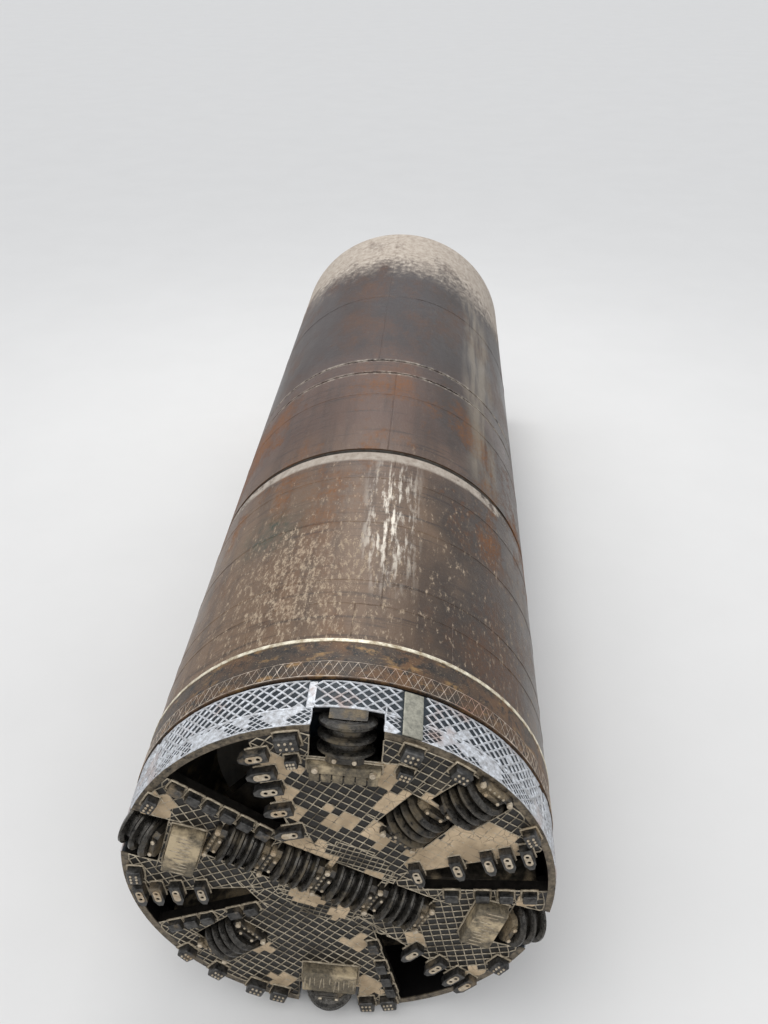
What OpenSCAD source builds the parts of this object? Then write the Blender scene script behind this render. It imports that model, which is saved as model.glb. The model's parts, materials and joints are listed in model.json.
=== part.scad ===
// Tunnel boring machine for pipe jacking: a rotating cutterhead with disc cutters, a steered front
// shield, a middle can and a tail can, with what is carried inside them.
// The axis of the machine runs along Y, its cutterhead faces -Y and the floor is z = 0.
// Distances named ..._at are measured back from the front edge of the cutterhead's rim.

/* [Shield] */
// Outside radius of the cans
shield_r = 1500; // [1300:10:1700]
// Wall of the cans
can_wall = 45; // [35:1:60]
// Length from the foremost cutter tips to the tail
machine_len = 10300; // [10000:50:11500]
// How far the hard-faced edge stands out from the cans
edge_step = 8; // [4:1:10]
// How far the weld ring behind it stands out from the cans
weld_step = 12; // [11:1:20]
// Front end of the front can's edge
edge_at = 412; // [406:1:440]
// Joint between the edge and the front can
edge_end_at = 790; // [700:5:900]
// Width of the weld ring
weld_w = 30; // [15:1:60]
// Rear end of the front can
front_end_at = 3400; // [3340:5:3500]
// Open gap at the steering joint
steer_gap = 70; // [65:1:100]
// Front end of the ring between the middle can and the tail can
joint_ring_at = 5140; // [4900:10:5400]
// Length of that ring
joint_ring_w = 340; // [200:5:500]
// Depth of the two grooves in that ring
groove_d = 14; // [6:1:25]
// Width of each groove
groove_w = 26; // [10:1:60]

/* [Cutterhead] */
// How far the cutterhead's rim lies inside the cans' outside radius
head_in = 10; // [6:1:30]
// Wall of the rim
rim_wall = 50; // [35:1:70]
// Length of the rim
rim_len = 400; // [300:5:404]
// Thickness of the face plate
plate_t = 80; // [50:1:110]
// How far the shoulder behind the face plate reaches in
shoulder_w = 60; // [30:1:90]
// Thickness of that shoulder
shoulder_t = 40; // [20:1:60]
// Radius of the main shaft
shaft_r = 400; // [300:5:460]

/* [Disc cutters] */
// Radius of the cutter rings at their edge
ring_r = 185; // [170:1:190]
// Width of the edge that cuts
ring_edge_w = 16; // [8:1:24]
// Width of a ring at its foot
ring_foot_w = 46; // [36:1:56]
// Radius at which a ring starts to taper
ring_foot_r = 158; // [145:1:165]
// Radius of the body between the rings
cutter_body_r = 128; // [100:1:140]
// Distance between the rings of a face cutter
ring_pitch = 70; // [60:1:74]
// Distance between the rings of a gauge cutter
gauge_pitch = 85; // [70:1:90]
// How far the face cutters stand in front of the rim
tip_proud = 125; // [90:1:150]
// Radius of a cutter's shaft
pin_r = 50; // [30:1:70]
// Thickness of a cutter's saddle
saddle_t = 45; // [30:1:48]
// Width of a saddle
saddle_w = 240; // [160:5:280]
// How far a saddle stands in front of the rim
saddle_proud = 45; // [20:1:70]
// How far a saddle reaches behind the rim's edge
saddle_deep = 170; // [130:5:220]
// Room between a cutter and its saddles
cutter_gap = 5; // [5:1:8]
// Lean of a gauge cutter
gauge_lean = 25; // [15:1:35]
// How far behind the rim's edge the middle of a gauge cutter lies
gauge_at = 84; // [60:1:110]
// How far behind the rim's edge its openings for the gauge cutters reach
gauge_open = 168; // [160:1:200]

/* [Bits] */
// Length of a scraper
scraper_len = 190; // [140:5:230]
// Width of a scraper
scraper_w = 78; // [50:1:100]
// Thickness of a scraper
scraper_t = 62; // [40:1:80]
// How far a scraper hangs over its opening
scraper_over = 95; // [60:5:120]
// Radius of the bolt holes in a scraper
scraper_hole_r = 13; // [8:1:16]
// Length of a lip block along its opening
block_len = 96; // [60:2:120]
// Width of a lip block
block_w = 74; // [50:2:100]
// Thickness of a lip block
block_t = 58; // [30:1:80]
// Thickness of the rough wear blocks
wear_t = 92; // [50:2:120]
// Side of a wear tile
tile_w = 66; // [40:1:80]
// Gap between wear tiles
tile_gap = 8; // [4:1:14]
// Length of a wear block along the radius
wear_len = 220; // [150:10:260]
// Width of a wear block round the face
wear_w = 400; // [300:10:420]
// Thickness of the bits at the rim
rim_bit_t = 70; // [40:2:90]

/* [Steering] */
// Plane of the steering axes, behind the rim's edge
pivot_at = 3300; // [3280:5:3320]
// Distance of the steering cylinders from the cans' inside
cyl_in = 305; // [290:5:400]
// Radius of a steering cylinder's barrel
barrel_r = 82; // [70:1:95]
// Radius of its rod
rod_r = 40; // [30:1:50]
// Length of the barrel
barrel_len = 700; // [500:10:760]
// Distance from the steering axes to the barrel
barrel_back = 190; // [150:5:240]
// Radius of the pins
steer_pin_r = 30; // [20:1:36]
// Running room round a sliding or turning fit
run_gap = 0.05; // [0.02:0.01:0.1]
// Room round the pin in a rod's eye
eye_gap = 3; // [2:0.5:5]

/* [Inside] */
// Height of the walkway above the lowest place inside the can
floor_up = 595; // [480:5:640]
// Room between the walkway's edges and the can
floor_room = 93; // [60:1:200]
// Thickness of the walkway plate
floor_t = 12; // [8:1:20]
// Radius of the slurry pipes
pipe_r = 110; // [80:1:130]
// Wall of the slurry pipes
pipe_wall = 8; // [5:1:12]
// How far the jacking ring in the tail reaches in from the can
jack_ring_w = 195; // [120:5:205]
// Depth of the socket that takes the first pipe
socket_len = 420; // [250:10:600]
// How much wider the socket is bored than the can
socket_step = 5; // [2:1:10]
// Radius of the ventilation duct
duct_r = 150; // [100:5:180]
// Width, length and height of the power pack
pack_size = [560, 1800, 760];
// Width, length and height of the oil tank
tank_size = [560, 1050, 900];
// Width, length and height of the electric cabinet
cabinet_size = [360, 2400, 1250];
// Radius of a drive motor's gearbox
gearbox_r = 130; // [90:5:150]
// Radius of a drive motor
motor_r = 95; // [60:5:120]

/* [Hidden] */
$fn = 200;
axis_z = shield_r + weld_step;
face_y = -machine_len / 2 + tip_proud;
tail_y = machine_len / 2;
can_ri = shield_r - can_wall;
head_r = shield_r - head_in;
rim_ri = head_r - rim_wall;
cyl_r = can_ri - cyl_in;
jack_ring_ri = can_ri - jack_ring_w;
floor_down = can_ri - floor_up;
floor_half = sqrt(can_ri * can_ri - floor_down * floor_down) - floor_room;
seat_gap = 0.3;
plate_r = rim_ri - seat_gap;
eps = 1;
function at(d) = face_y + d;
function dir(a) = [cos(a), sin(a)];

// Length of an opening's edge from its start to the rim, and the place of a piece on it: a negative
// distance is measured back from the rim
function edge_len(e) = let (u = [e[0], e[1]] * dir(e[2]))
    sqrt(u * u + rim_ri * rim_ri - e[0] * e[0] - e[1] * e[1]) - u;
function along(e, t) = t < 0 ? edge_len(e) + t : t;

// Muck openings, each the wedge between two edges that run out to the rim:
// [start x, start z, direction] of its low edge, then of its high edge
OPENINGS = [
    [[-280, 478, 105], [-400, 500, 145]],
    [[600, -25, 3], [509, 150, 18.5]],
    [[-640, -100, 187.5], [-540, -250, 202]],
    [[255, -530, 283], [400, -600, 318]],
];
// Scrapers: [opening, edge (0 low, 1 high), [distances along that edge, negative from the rim]]
SCRAPERS = [
    [0, 0, [60, 280, 480, -278, -118]],
    [1, 1, [50, 330, -365, -235, -100]],
    [2, 0, [300, -312, -172, -47]],
    [3, 1, [170, 400, -150, -30]],
];
// Lip blocks on the other edges: the same columns
BLOCKS = [
    [0, 1, [60, 200, 330, -354, -224, -94]],
    [1, 0, [190, 400, -281, -121]],
    [2, 1, [90, 220, 440, -275, -145]],
    [3, 0, [150, 400, -300, -160]],
];
// Face cutters: [angle of the row, distance along it]
CENTRE_A = -27;
FACE_CUTTERS = [
    [CENTRE_A, -720], [CENTRE_A, -320], [CENTRE_A, 80], [CENTRE_A, 480],
    [44.3, head_r - 250], [50.7, head_r - 625], [221.4, head_r - 450],
];
// Angles of the gauge cutters
GAUGE_A = [86, 163, 266, 343];
// Rim blocks: [angle, distance from the axis, radial size, size along the rim]
RIM_BITS = [
    [101, head_r - 95, 110, 150], [101.5, head_r - 265, 70, 80], [69, head_r - 95, 100, 130], [68, head_r - 265, 70, 100],
    [55, head_r - 85, 90, 130], [148, head_r - 80, 80, 120], [179.5, head_r - 95, 100, 120], [217.5, head_r - 70, 100, 110],
    [229.5, head_r - 75, 110, 110], [243, head_r - 75, 110, 130], [250.5, head_r - 75, 110, 120], [278, head_r - 75, 110, 110],
    [284.8, head_r - 75, 110, 110], [325, head_r - 75, 110, 120], [25, head_r - 75, 90, 110],
];
// Ribs between the face plate and the crusher cone: [angle, inner radius]
RIBS = [
    [27, 450], [69, 450], [101, 450], [180.5, 450], [207, 700], [243, 450], [281.5, 450],
    [325.5, 760], [358.5, 500],
];
rib_t = 56;
// Joints between the six segments of the face plate: [angle, inner radius, outer radius]
SEGMENT_CUTS = [
    [CENTRE_A, 0, 640], [CENTRE_A + 0.8, 600, 1300],
    [CENTRE_A + 180, 0, 880], [CENTRE_A + 180.8, 840, 1300],
    [125, 380, 620], [11, 290, 600], [195, 270, 660], [302, 370, 700],
];
// Play left between pieces that are welded to each other's faces
touch = 0.02;
gauge_tip_r = shield_r + weld_step;
gauge_len = 2 * gauge_pitch + ring_foot_w + 4;
face_len = 3 * ring_pitch + ring_foot_w + 4;
gauge_r = gauge_tip_r - gauge_pitch * cos(gauge_lean) - ring_r * sin(gauge_lean)
    - ring_edge_w / 2 * cos(gauge_lean);
face_cutter_y = at(ring_r - tip_proud);
window_half = ring_r + 14;
pivot_y = at(pivot_at);
mid_y = at(front_end_at + steer_gap);
spigot_ro = can_ri - 10;
spigot_ri = spigot_ro - 40;
spigot_y = pivot_y - 70;
mid_flange_y = mid_y + 60;
shelf_w = 55;
shelf_t = 50;
bulkhead_at = 1100;
bulkhead_y = at(bulkhead_at);
bulkhead_t = 70;
frame_ahead = 560;
frame_y = pivot_y - frame_ahead;
frame_t = 60;
rear_eye = 90;
mid_frame_y = pivot_y + barrel_back + barrel_len + rear_eye + 100;
eye_r = 65;
eye_w = 80;
cheek_t = 38;
cheek_gap = 4;
ring_torque_ro = spigot_ri - 20;
ring_torque_ri = ring_torque_ro - 55;
torque_half = 60;
jack_ring_t = 90;
jack_ring_y = tail_y - socket_len - jack_ring_t;
drive_r = 620;
drive_front_y = bulkhead_y - 90;
drive_back_y = bulkhead_y + 880;
shaft_end_y = drive_front_y + 490;
cone_front_r = head_r - 590;
cone_back_r = drive_r - 60;
cone_front_y = at(ring_r * 2 - tip_proud + 25);
cone_back_y = at(860);
pipe_x = 330;
pipe_z = -floor_down - pipe_r - 70;
stub_x = 580;
stub_z = -660;
flange_r = pipe_r + 50;
flange_t = 26;
flange_hole_at = pipe_r + 28;
stub_len = 320;
floor_y0 = mid_frame_y + frame_t + shelf_t + 90;
floor_y1 = jack_ring_y - shelf_t - 60;
floor_top = -floor_down + floor_t;
left_x = -floor_half + 80;
cabinet_x = floor_half - 30 - cabinet_size[0];
tank_y = floor_y0 + 300;
pack_y = tank_y + tank_size[1] + 150;
duct_at = (can_ri - 310) * dir(124);
duct_y0 = floor_y0 + 200;
duct_y1 = jack_ring_y - 200;
STEER_A = [90, 180, 270, 0];

// Lifts what is drawn about the machine's axis to its height
module on_axis() translate([0, 0, axis_z]) children();

// A solid of revolution about the machine's axis from points [radius, y]
module turned() on_axis() rotate([-90, 0, 0]) rotate_extrude() children();

module ring_profile(y0, y1, ro, ri) translate([ri, y0]) square([ro - ri, y1 - y0]);

// A flat outline in the plane of the face, drawn as [x, z], from y0 back to y1
module slab(y0, y1) translate([0, y1, 0]) rotate([90, 0, 0]) linear_extrude(y1 - y0) children();

// Puts children out at an angle in the face: their X is radial, their Z runs round the face
module polar(a, r) rotate([0, -a, 0]) translate([r, 0, 0]) children();

// Puts children at a point of an opening's edge: their X runs along the edge
module on_edge(opening, edge, t) {
    e = OPENINGS[opening][edge];
    d = along(e, t);
    translate([e[0] + d * cos(e[2]), 0, e[1] + d * sin(e[2])]) rotate([0, -e[2], 0]) children();
}

module opening_outline(o) {
    low = [o[0][0], o[0][1]];
    high = [o[1][0], o[1][1]];
    far = 2 * head_r;
    polygon([low, low + far * dir(o[0][2]), high + far * dir(o[1][2]), high]);
}

// The space of a face cutter and its saddles, as a hole through the plate
module face_window(half_len) {
    translate([-half_len, -window_half]) square([2 * half_len, 2 * window_half]);
}

module gauge_place(a) polar(a, gauge_r) translate([0, at(gauge_at), 0]) rotate([0, 0, gauge_lean])
    children();

module gauge_window() {
    half = gauge_len / 2 + cutter_gap + saddle_t;
    deep = ring_r + 25;
    translate([-half, -3 * ring_r, -window_half - 30])
        cube([2 * half + 200, 3 * ring_r + deep, 2 * window_half + 60]);
}

module head_plate() color("dimgray") on_axis() difference() {
    slab(at(0), at(plate_t)) difference() {
        circle(r = plate_r);
        for (o = OPENINGS) opening_outline(o);
        for (c = FACE_CUTTERS) rotate(c[0]) translate([c[1], 0])
            face_window(face_len / 2 + cutter_gap + saddle_t);
        for (c = SEGMENT_CUTS) rotate(c[0]) translate([c[1], -run_gap / 2])
            square([c[2] - c[1], run_gap]);
    }
    for (a = GAUGE_A) gauge_place(a) gauge_window();
}

module head_rim() color("lightgray") on_axis() difference() {
    rotate([-90, 0, 0]) rotate_extrude() polygon([
        [rim_ri, at(0)], [head_r, at(0)], [head_r, at(rim_len)], [rim_ri, at(rim_len)],
        [rim_ri, at(plate_t + shoulder_t)], [rim_ri - shoulder_w, at(plate_t + shoulder_t)],
        [rim_ri - shoulder_w, at(plate_t)], [rim_ri, at(plate_t)],
    ]);
    slab(at(plate_t - eps), at(plate_t + shoulder_t + eps)) intersection() {
        circle(r = rim_ri);
        union() {
            for (o = OPENINGS) opening_outline(o);
            rotate(FACE_CUTTERS[4][0]) translate([FACE_CUTTERS[4][1], 0])
                face_window(face_len / 2 + cutter_gap + saddle_t);
        }
    }
    intersection() {
        union() for (a = GAUGE_A) gauge_place(a) gauge_window();
        slab(at(-3 * ring_r), at(gauge_open)) circle(r = 2 * head_r);
    }
}

// The ribs that carry the face plate, between it and the crusher cone
module head_ribs() color("dimgray") on_axis() for (r = RIBS) polar(r[0], r[1])
    translate([0, at(plate_t) + touch, -rib_t / 2])
        cube([rim_ri - shoulder_w - 5 - r[1], cone_front_y - at(plate_t) - 2 * touch, rib_t]);

// The crusher cone with its bars, and the main shaft
module crusher_cone() color("dimgray") on_axis() {
    bars = 8;
    bar_len = 600;
    bar_h = 90;
    bar_w = 60;
    cone_a = atan2(cone_back_y - cone_front_y, cone_back_r - cone_front_r);
    rotate([-90, 0, 0]) rotate_extrude() polygon([
        [0, cone_front_y], [cone_front_r, cone_front_y], [cone_back_r, cone_back_y],
        [shaft_r + 60, drive_front_y - 30], [shaft_r, drive_front_y - 30], [shaft_r, shaft_end_y],
        [0, shaft_end_y],
    ]);
    for (i = [0:bars - 1]) polar(i * 360 / bars + 12, 0)
        translate([cone_front_r + 30, cone_front_y + 5 - bar_h * cos(cone_a), -bar_w / 2])
            rotate([0, 0, cone_a]) cube([bar_len, bar_h, bar_w]);
}

// One saddle block, outline in the plane of the shaft's end
module saddle_block(y0, y1) {
    chamfer = 30;
    rotate([90, 0, 90]) linear_extrude(saddle_t) polygon([
        [y0 + chamfer, -saddle_w / 2], [y1, -saddle_w / 2], [y1, saddle_w / 2],
        [y0 + chamfer, saddle_w / 2], [y0, saddle_w / 2 - chamfer], [y0, -saddle_w / 2 + chamfer],
    ]);
}

module saddle_pair(half_len, y0, y1, shaft_y) {
    for (s = [-1, 1]) translate([s > 0 ? half_len + cutter_gap : -half_len - cutter_gap - saddle_t, 0, 0])
        saddle_block(y0, y1);
    translate([-half_len - cutter_gap - eps, shaft_y, 0]) rotate([0, 90, 0])
        cylinder(h = 2 * (half_len + cutter_gap + eps), r = pin_r);
}

module face_saddles() color("gray") on_axis() for (c = FACE_CUTTERS) polar(c[0], c[1])
    saddle_pair(face_len / 2, at(-saddle_proud), at(saddle_deep), face_cutter_y);

module gauge_saddles() color("gray") on_axis() intersection() {
    union() for (a = GAUGE_A) gauge_place(a)
        saddle_pair(gauge_len / 2, -105, 120, 0);
    rotate([-90, 0, 0]) rotate_extrude() polygon([
        [0, at(-300)], [head_r - 2, at(-300)], [head_r - 2, at(gauge_open) - 4],
        [rim_ri - 2, at(gauge_open) - 4], [rim_ri - 2, at(600)], [0, at(600)],
    ]);
}

// A scraper lies on the plate beside an opening and points over it, along +X
module scraper() {
    back = scraper_len - scraper_over;
    nose = 46;
    difference() {
        slab(at(-scraper_t), at(-touch)) difference() {
            union() {
                translate([-back, -scraper_w / 2]) square([scraper_len - nose, scraper_w]);
                polygon([
                    [scraper_over - nose - eps, -scraper_w / 2], [scraper_over, -scraper_w / 5],
                    [scraper_over, scraper_w / 5], [scraper_over - nose - eps, scraper_w / 2],
                ]);
            }
            for (s = [-1, 1]) translate([-12 + s * 26, 0]) circle(r = scraper_hole_r);
        }
        translate([scraper_over - nose, at(-scraper_t), -scraper_w]) rotate([0, 0, -38])
            translate([0, -60, 0]) cube([2 * nose, 60, 2 * scraper_w]);
    }
}

module scrapers() color("tan") on_axis() for (s = SCRAPERS, t = s[2]) on_edge(s[0], s[1], t)
    rotate([0, s[1] == 0 ? -90 : 90, 0]) scraper();

module lip_blocks() color("dimgray") on_axis() for (b = BLOCKS, t = b[2]) on_edge(b[0], b[1], t)
    translate([-block_len / 2, at(-block_t), b[1] == 0 ? -block_w : 0])
        cube([block_len, block_t - touch, block_w]);

module rim_bits() color("dimgray") on_axis() for (b = RIM_BITS) polar(b[0], b[1])
    translate([-b[2] / 2, at(-rim_bit_t), -b[3] / 2]) cube([b[2], rim_bit_t - touch, b[3]]);

// Rough blocks inside three of the gauge cutters, and a clamp strip with tiles inside the top one
module wear_blocks() color("gray") on_axis() {
    wear_ro = gauge_r - 169.5;
    strip = [70, 56, 460];
    tile_t = 46;
    for (i = [1, 2, 3]) polar(GAUGE_A[i], wear_ro - wear_len)
        translate([0, at(-wear_t), -wear_w / 2]) cube([wear_len, wear_t - touch, wear_w]);
    polar(GAUGE_A[0], wear_ro - 60) {
        translate([0, at(-strip[1] - touch), -strip[2] / 2]) cube(strip);
        for (i = [-2.5:1:2.5])
            translate([-tile_gap - tile_w - 10, at(-tile_t), i * (tile_w + tile_gap) - tile_w / 2])
                cube([tile_w + 10, tile_t - touch, tile_w]);
    }
}

// A disc cutter about the X axis: a body with rings, bored for its shaft
module cutter(rings, pitch) {
    half = (rings - 1) / 2 * pitch + ring_foot_w / 2 + 2;
    rotate([0, 90, 0]) rotate_extrude() polygon(concat(
        [[pin_r + run_gap, -half], [cutter_body_r, -half]],
        [for (i = [0:rings - 1], p = [
            [cutter_body_r, -ring_foot_w / 2], [ring_foot_r, -ring_foot_w / 2],
            [ring_r, -ring_edge_w / 2], [ring_r, ring_edge_w / 2],
            [ring_foot_r, ring_foot_w / 2], [cutter_body_r, ring_foot_w / 2],
        ]) [p[0], (i - (rings - 1) / 2) * pitch + p[1]]],
        [[cutter_body_r, half], [pin_r + run_gap, half]]
    ));
}

module face_cutter(i) color("silver") on_axis() polar(FACE_CUTTERS[i][0], FACE_CUTTERS[i][1])
    translate([0, face_cutter_y, 0]) cutter(4, ring_pitch);

module gauge_cutter(i) color("silver") on_axis() gauge_place(GAUGE_A[i]) cutter(3, gauge_pitch);

module front_edge() color("silver") turned() polygon([
    [can_ri, at(edge_at)], [shield_r + edge_step, at(edge_at)],
    [shield_r + edge_step, at(edge_end_at - weld_w)], [shield_r + weld_step, at(edge_end_at - weld_w)],
    [shield_r + weld_step, at(edge_end_at)], [can_ri, at(edge_end_at)],
]);

// A can's wall with inner shelves that carry frames: [y of a shelf's front]
module can_profile(y0, y1, shelves) {
    ring_profile(y0, y1, shield_r, can_ri);
    for (s = shelves) ring_profile(s, s + shelf_t, can_ri + eps, can_ri - shelf_w);
}

module front_can() color("saddlebrown") turned()
    can_profile(at(edge_end_at), at(front_end_at), [bulkhead_y - shelf_t, frame_y - shelf_t]);

// The fixed ring of the crusher
module crusher_ring() color("dimgray") turned() polygon([
    [can_ri - 90, at(edge_at + 28)], [can_ri - 40, at(edge_at + 28)],
    [can_ri - 325, bulkhead_y], [can_ri - 395, bulkhead_y],
]);

// The pressure wall, with the stubs that the slurry hoses join
module bulkhead() color("gray") difference() {
    union() {
        turned() ring_profile(bulkhead_y, bulkhead_y + bulkhead_t, can_ri - 5, drive_r + seat_gap);
        for (x = [-stub_x, stub_x]) on_axis() translate([x, bulkhead_y + bulkhead_t - eps, stub_z])
            rotate([-90, 0, 0]) cylinder(h = stub_len + eps, r = pipe_r);
    }
    for (x = [-stub_x, stub_x]) on_axis() translate([x, bulkhead_y - eps, stub_z])
        rotate([-90, 0, 0]) cylinder(h = bulkhead_t + stub_len + 3 * eps, r = pipe_r - pipe_wall);
}

module drive_housing() color("steelblue") turned() {
    drive_flange = [130, 90];
    flange_y = bulkhead_y + bulkhead_t;
    polygon([
        [shaft_r + run_gap, drive_front_y], [drive_r, drive_front_y], [drive_r, flange_y],
        [drive_r + drive_flange[0], flange_y], [drive_r + drive_flange[0], flange_y + drive_flange[1]],
        [drive_r, flange_y + drive_flange[1]], [drive_r, drive_back_y], [0, drive_back_y],
        [0, shaft_end_y + 6], [shaft_r + run_gap, shaft_end_y + 6],
    ]);
}

module drive_motors() color("steelblue") on_axis() for (i = [0:5]) polar(i * 60 + 30, 400)
    rotate([-90, 0, 0]) {
        gearbox_len = 180;
        motor_len = 240;
        translate([0, 0, drive_back_y]) cylinder(h = gearbox_len, r = gearbox_r);
        translate([0, 0, drive_back_y + gearbox_len]) cylinder(h = motor_len, r = motor_r);
    }

// A clevis whose pin holds an eye of a steering cylinder, on the radial line of its polar place
module clevis(y_eye, y_foot) {
    for (s = [-1, 1]) translate([0, 0, s * (eye_w / 2 + cheek_gap + cheek_t / 2) - cheek_t / 2]) {
        translate([-eye_r, min(y_eye, y_foot), 0]) cube([2 * eye_r, abs(y_foot - y_eye), cheek_t]);
        translate([0, y_eye, 0]) cylinder(h = cheek_t, r = eye_r);
    }
    pin_len = eye_w + 2 * cheek_gap + 2 * eps;
    translate([0, y_eye, -pin_len / 2]) cylinder(h = pin_len, r = steer_pin_r);
}

module front_frame() color("gray") {
    turned() ring_profile(frame_y, frame_y + frame_t, can_ri - 5, cyl_r - 110);
    on_axis() for (a = STEER_A) polar(a, cyl_r) clevis(pivot_y, frame_y + frame_t - eps);
    arm_r0 = cyl_r + eye_r + 20;
    arm_w = 110;
    on_axis() for (a = [0, 180]) polar(a, arm_r0) {
        translate([0, frame_y + frame_t - eps, -arm_w / 2])
            cube([ring_torque_ri - 20 - arm_r0, pivot_y - frame_y - frame_t + arm_w / 2 + eps, arm_w]);
        translate([0, pivot_y, 0]) rotate([0, 90, 0])
            cylinder(h = ring_torque_ro - 4 - arm_r0, r = steer_pin_r);
    }
}

// The ring that carries the head's turning force between the cans: pinned to the middle can above
// and below, and to the front frame at its sides
module torque_ring() color("gray") difference() {
    union() {
        turned() ring_profile(pivot_y - torque_half, pivot_y + torque_half, ring_torque_ro, ring_torque_ri);
        on_axis() for (a = [90, 270]) polar(a, ring_torque_ro - 20) translate([0, pivot_y, 0])
            rotate([0, 90, 0]) cylinder(h = spigot_ro - 4 - ring_torque_ro + 20, r = steer_pin_r);
    }
    on_axis() for (a = [0, 180]) polar(a, ring_torque_ri - 20) translate([0, pivot_y, 0])
        rotate([0, 90, 0]) cylinder(h = 110, r = steer_pin_r + run_gap);
}

module rod(a) color("silver") on_axis() polar(a, cyl_r) difference() {
    union() {
        translate([0, pivot_y, -eye_w / 2]) cylinder(h = eye_w, r = eye_r);
        translate([0, pivot_y + 20, 0]) rotate([-90, 0, 0])
            cylinder(h = barrel_back + barrel_len / 2 - 20, r = rod_r);
    }
    translate([0, pivot_y, -eye_w]) cylinder(h = 2 * eye_w, r = steer_pin_r + eye_gap);
}

module steering_barrels() color("goldenrod") on_axis() for (a = STEER_A) polar(a, cyl_r) {
    y0 = pivot_y + barrel_back;
    y1 = y0 + barrel_len;
    difference() {
        union() {
            translate([0, y0, 0]) rotate([-90, 0, 0]) cylinder(h = barrel_len, r = barrel_r);
            translate([0, y1 - eps, 0]) rotate([-90, 0, 0]) cylinder(h = 60, r = eye_w / 2 - 2);
            translate([0, y1 + rear_eye, -eye_w / 2]) cylinder(h = eye_w, r = eye_r);
        }
        translate([0, y0 - eps, 0]) rotate([-90, 0, 0])
            cylinder(h = barrel_len - 60, r = rod_r + run_gap);
        translate([0, y1 + rear_eye, -eye_w]) cylinder(h = 2 * eye_w, r = steer_pin_r + seat_gap);
    }
}

module middle_can() color("sienna") difference() {
    turned() {
        can_profile(mid_flange_y - eps, at(joint_ring_at), [mid_frame_y + frame_t]);
        ring_profile(mid_y, mid_flange_y, shield_r, spigot_ri);
        ring_profile(spigot_y, mid_y + eps, spigot_ro, spigot_ri);
    }
    on_axis() for (a = [90, 270]) polar(a, spigot_ri - 20) translate([0, pivot_y, 0])
        rotate([0, 90, 0]) cylinder(h = 100, r = steer_pin_r + run_gap);
}

module middle_frame() color("gray") {
    turned() ring_profile(mid_frame_y, mid_frame_y + frame_t, can_ri - 5, cyl_r - 110);
    on_axis() for (a = STEER_A) polar(a, cyl_r)
        clevis(pivot_y + barrel_back + barrel_len + rear_eye, mid_frame_y + eps);
}

module joint_ring() color("sienna") turned() {
    y0 = at(joint_ring_at);
    y1 = y0 + joint_ring_w;
    polygon([
        [can_ri, y0], [shield_r - groove_d, y0], [shield_r - groove_d, y0 + groove_w],
        [shield_r, y0 + groove_w], [shield_r, y1 - groove_w], [shield_r - groove_d, y1 - groove_w],
        [shield_r - groove_d, y1], [can_ri, y1],
    ]);
}

// The tail can, bored wider behind the jacking ring for the first pipe's spigot
module tail_can() color("sienna") turned() difference() {
    can_profile(at(joint_ring_at) + joint_ring_w, tail_y, [jack_ring_y - shelf_t]);
    ring_profile(tail_y - socket_len, tail_y + eps, can_ri + socket_step, can_ri - eps);
}

module jacking_ring() color("gray") difference() {
    turned() ring_profile(jack_ring_y, jack_ring_y + jack_ring_t, can_ri - 5, jack_ring_ri);
    bolts = 16;
    on_axis() for (i = [0:bolts - 1]) polar((i + 0.5) * 360 / bolts, (can_ri + jack_ring_ri) / 2)
        translate([0, jack_ring_y - eps, 0]) rotate([-90, 0, 0]) cylinder(h = jack_ring_t + 2 * eps, r = 14);
}

// The walkway's plate on ribs that fit the can and carry the slurry pipes
module walkway() color("dimgray") on_axis() {
    ribs = 6;
    translate([-floor_half, floor_y0, -floor_down]) cube([2 * floor_half, floor_y1 - floor_y0, floor_t]);
    for (i = [0:ribs - 1]) translate([0, floor_y0 + 40 + i * (floor_y1 - floor_y0 - 100) / (ribs - 1), 0])
        slab(0, 20) difference() {
            intersection() {
                translate([-floor_half, -shield_r]) square([2 * floor_half, shield_r - floor_down + eps]);
                circle(r = can_ri - seat_gap);
            }
            for (x = [-pipe_x, pipe_x]) translate([x, pipe_z]) circle(r = pipe_r + seat_gap);
        }
}

module power_pack() color("steelblue") on_axis() translate([left_x, pack_y, floor_top]) cube(pack_size);

module oil_tank() color("steelblue") on_axis() translate([left_x, tank_y, floor_top]) cube(tank_size);

module electric_cabinet() color("lightgray") on_axis() translate([cabinet_x, tank_y, floor_top])
    cube(cabinet_size);

// The ventilation duct along the upper left, on brackets that reach the can
module vent_duct() color("gainsboro") on_axis() {
    brackets = 4;
    bracket_t = 16;
    translate([duct_at[0], duct_y0, duct_at[1]]) rotate([-90, 0, 0]) difference() {
        cylinder(h = duct_y1 - duct_y0, r = duct_r);
        translate([0, 0, -eps]) cylinder(h = duct_y1 - duct_y0 + 2 * eps, r = duct_r - 4);
    }
    for (i = [0:brackets - 1])
        translate([0, duct_y0 + 150 + i * (duct_y1 - duct_y0 - 300 - bracket_t) / (brackets - 1), 0])
            slab(0, bracket_t) difference() {
                intersection() {
                    circle(r = can_ri - seat_gap);
                    rotate(atan2(duct_at[1], duct_at[0])) translate([norm(duct_at), -120])
                        square([can_ri, 240]);
                }
                translate(duct_at) circle(r = duct_r + touch);
            }
}

// A slurry pipe along the machine below the walkway, with a flange at each end
module slurry_pipe(x) on_axis() translate([x, 0, pipe_z]) rotate([-90, 0, 0]) {
    y0 = floor_y0 - 50;
    y1 = jack_ring_y + jack_ring_t;
    difference() {
        union() {
            translate([0, 0, y0]) cylinder(h = y1 - y0, r = pipe_r);
            for (y = [y0, y1 - flange_t]) translate([0, 0, y]) cylinder(h = flange_t, r = flange_r);
        }
        translate([0, 0, y0 - eps]) cylinder(h = y1 - y0 + 2 * eps, r = pipe_r - pipe_wall);
        for (i = [0:7]) rotate(i * 45 + 22.5) translate([flange_hole_at, 0, y1 - flange_t - eps])
            cylinder(h = flange_t + 2 * eps, r = 11);
    }
}

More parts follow.
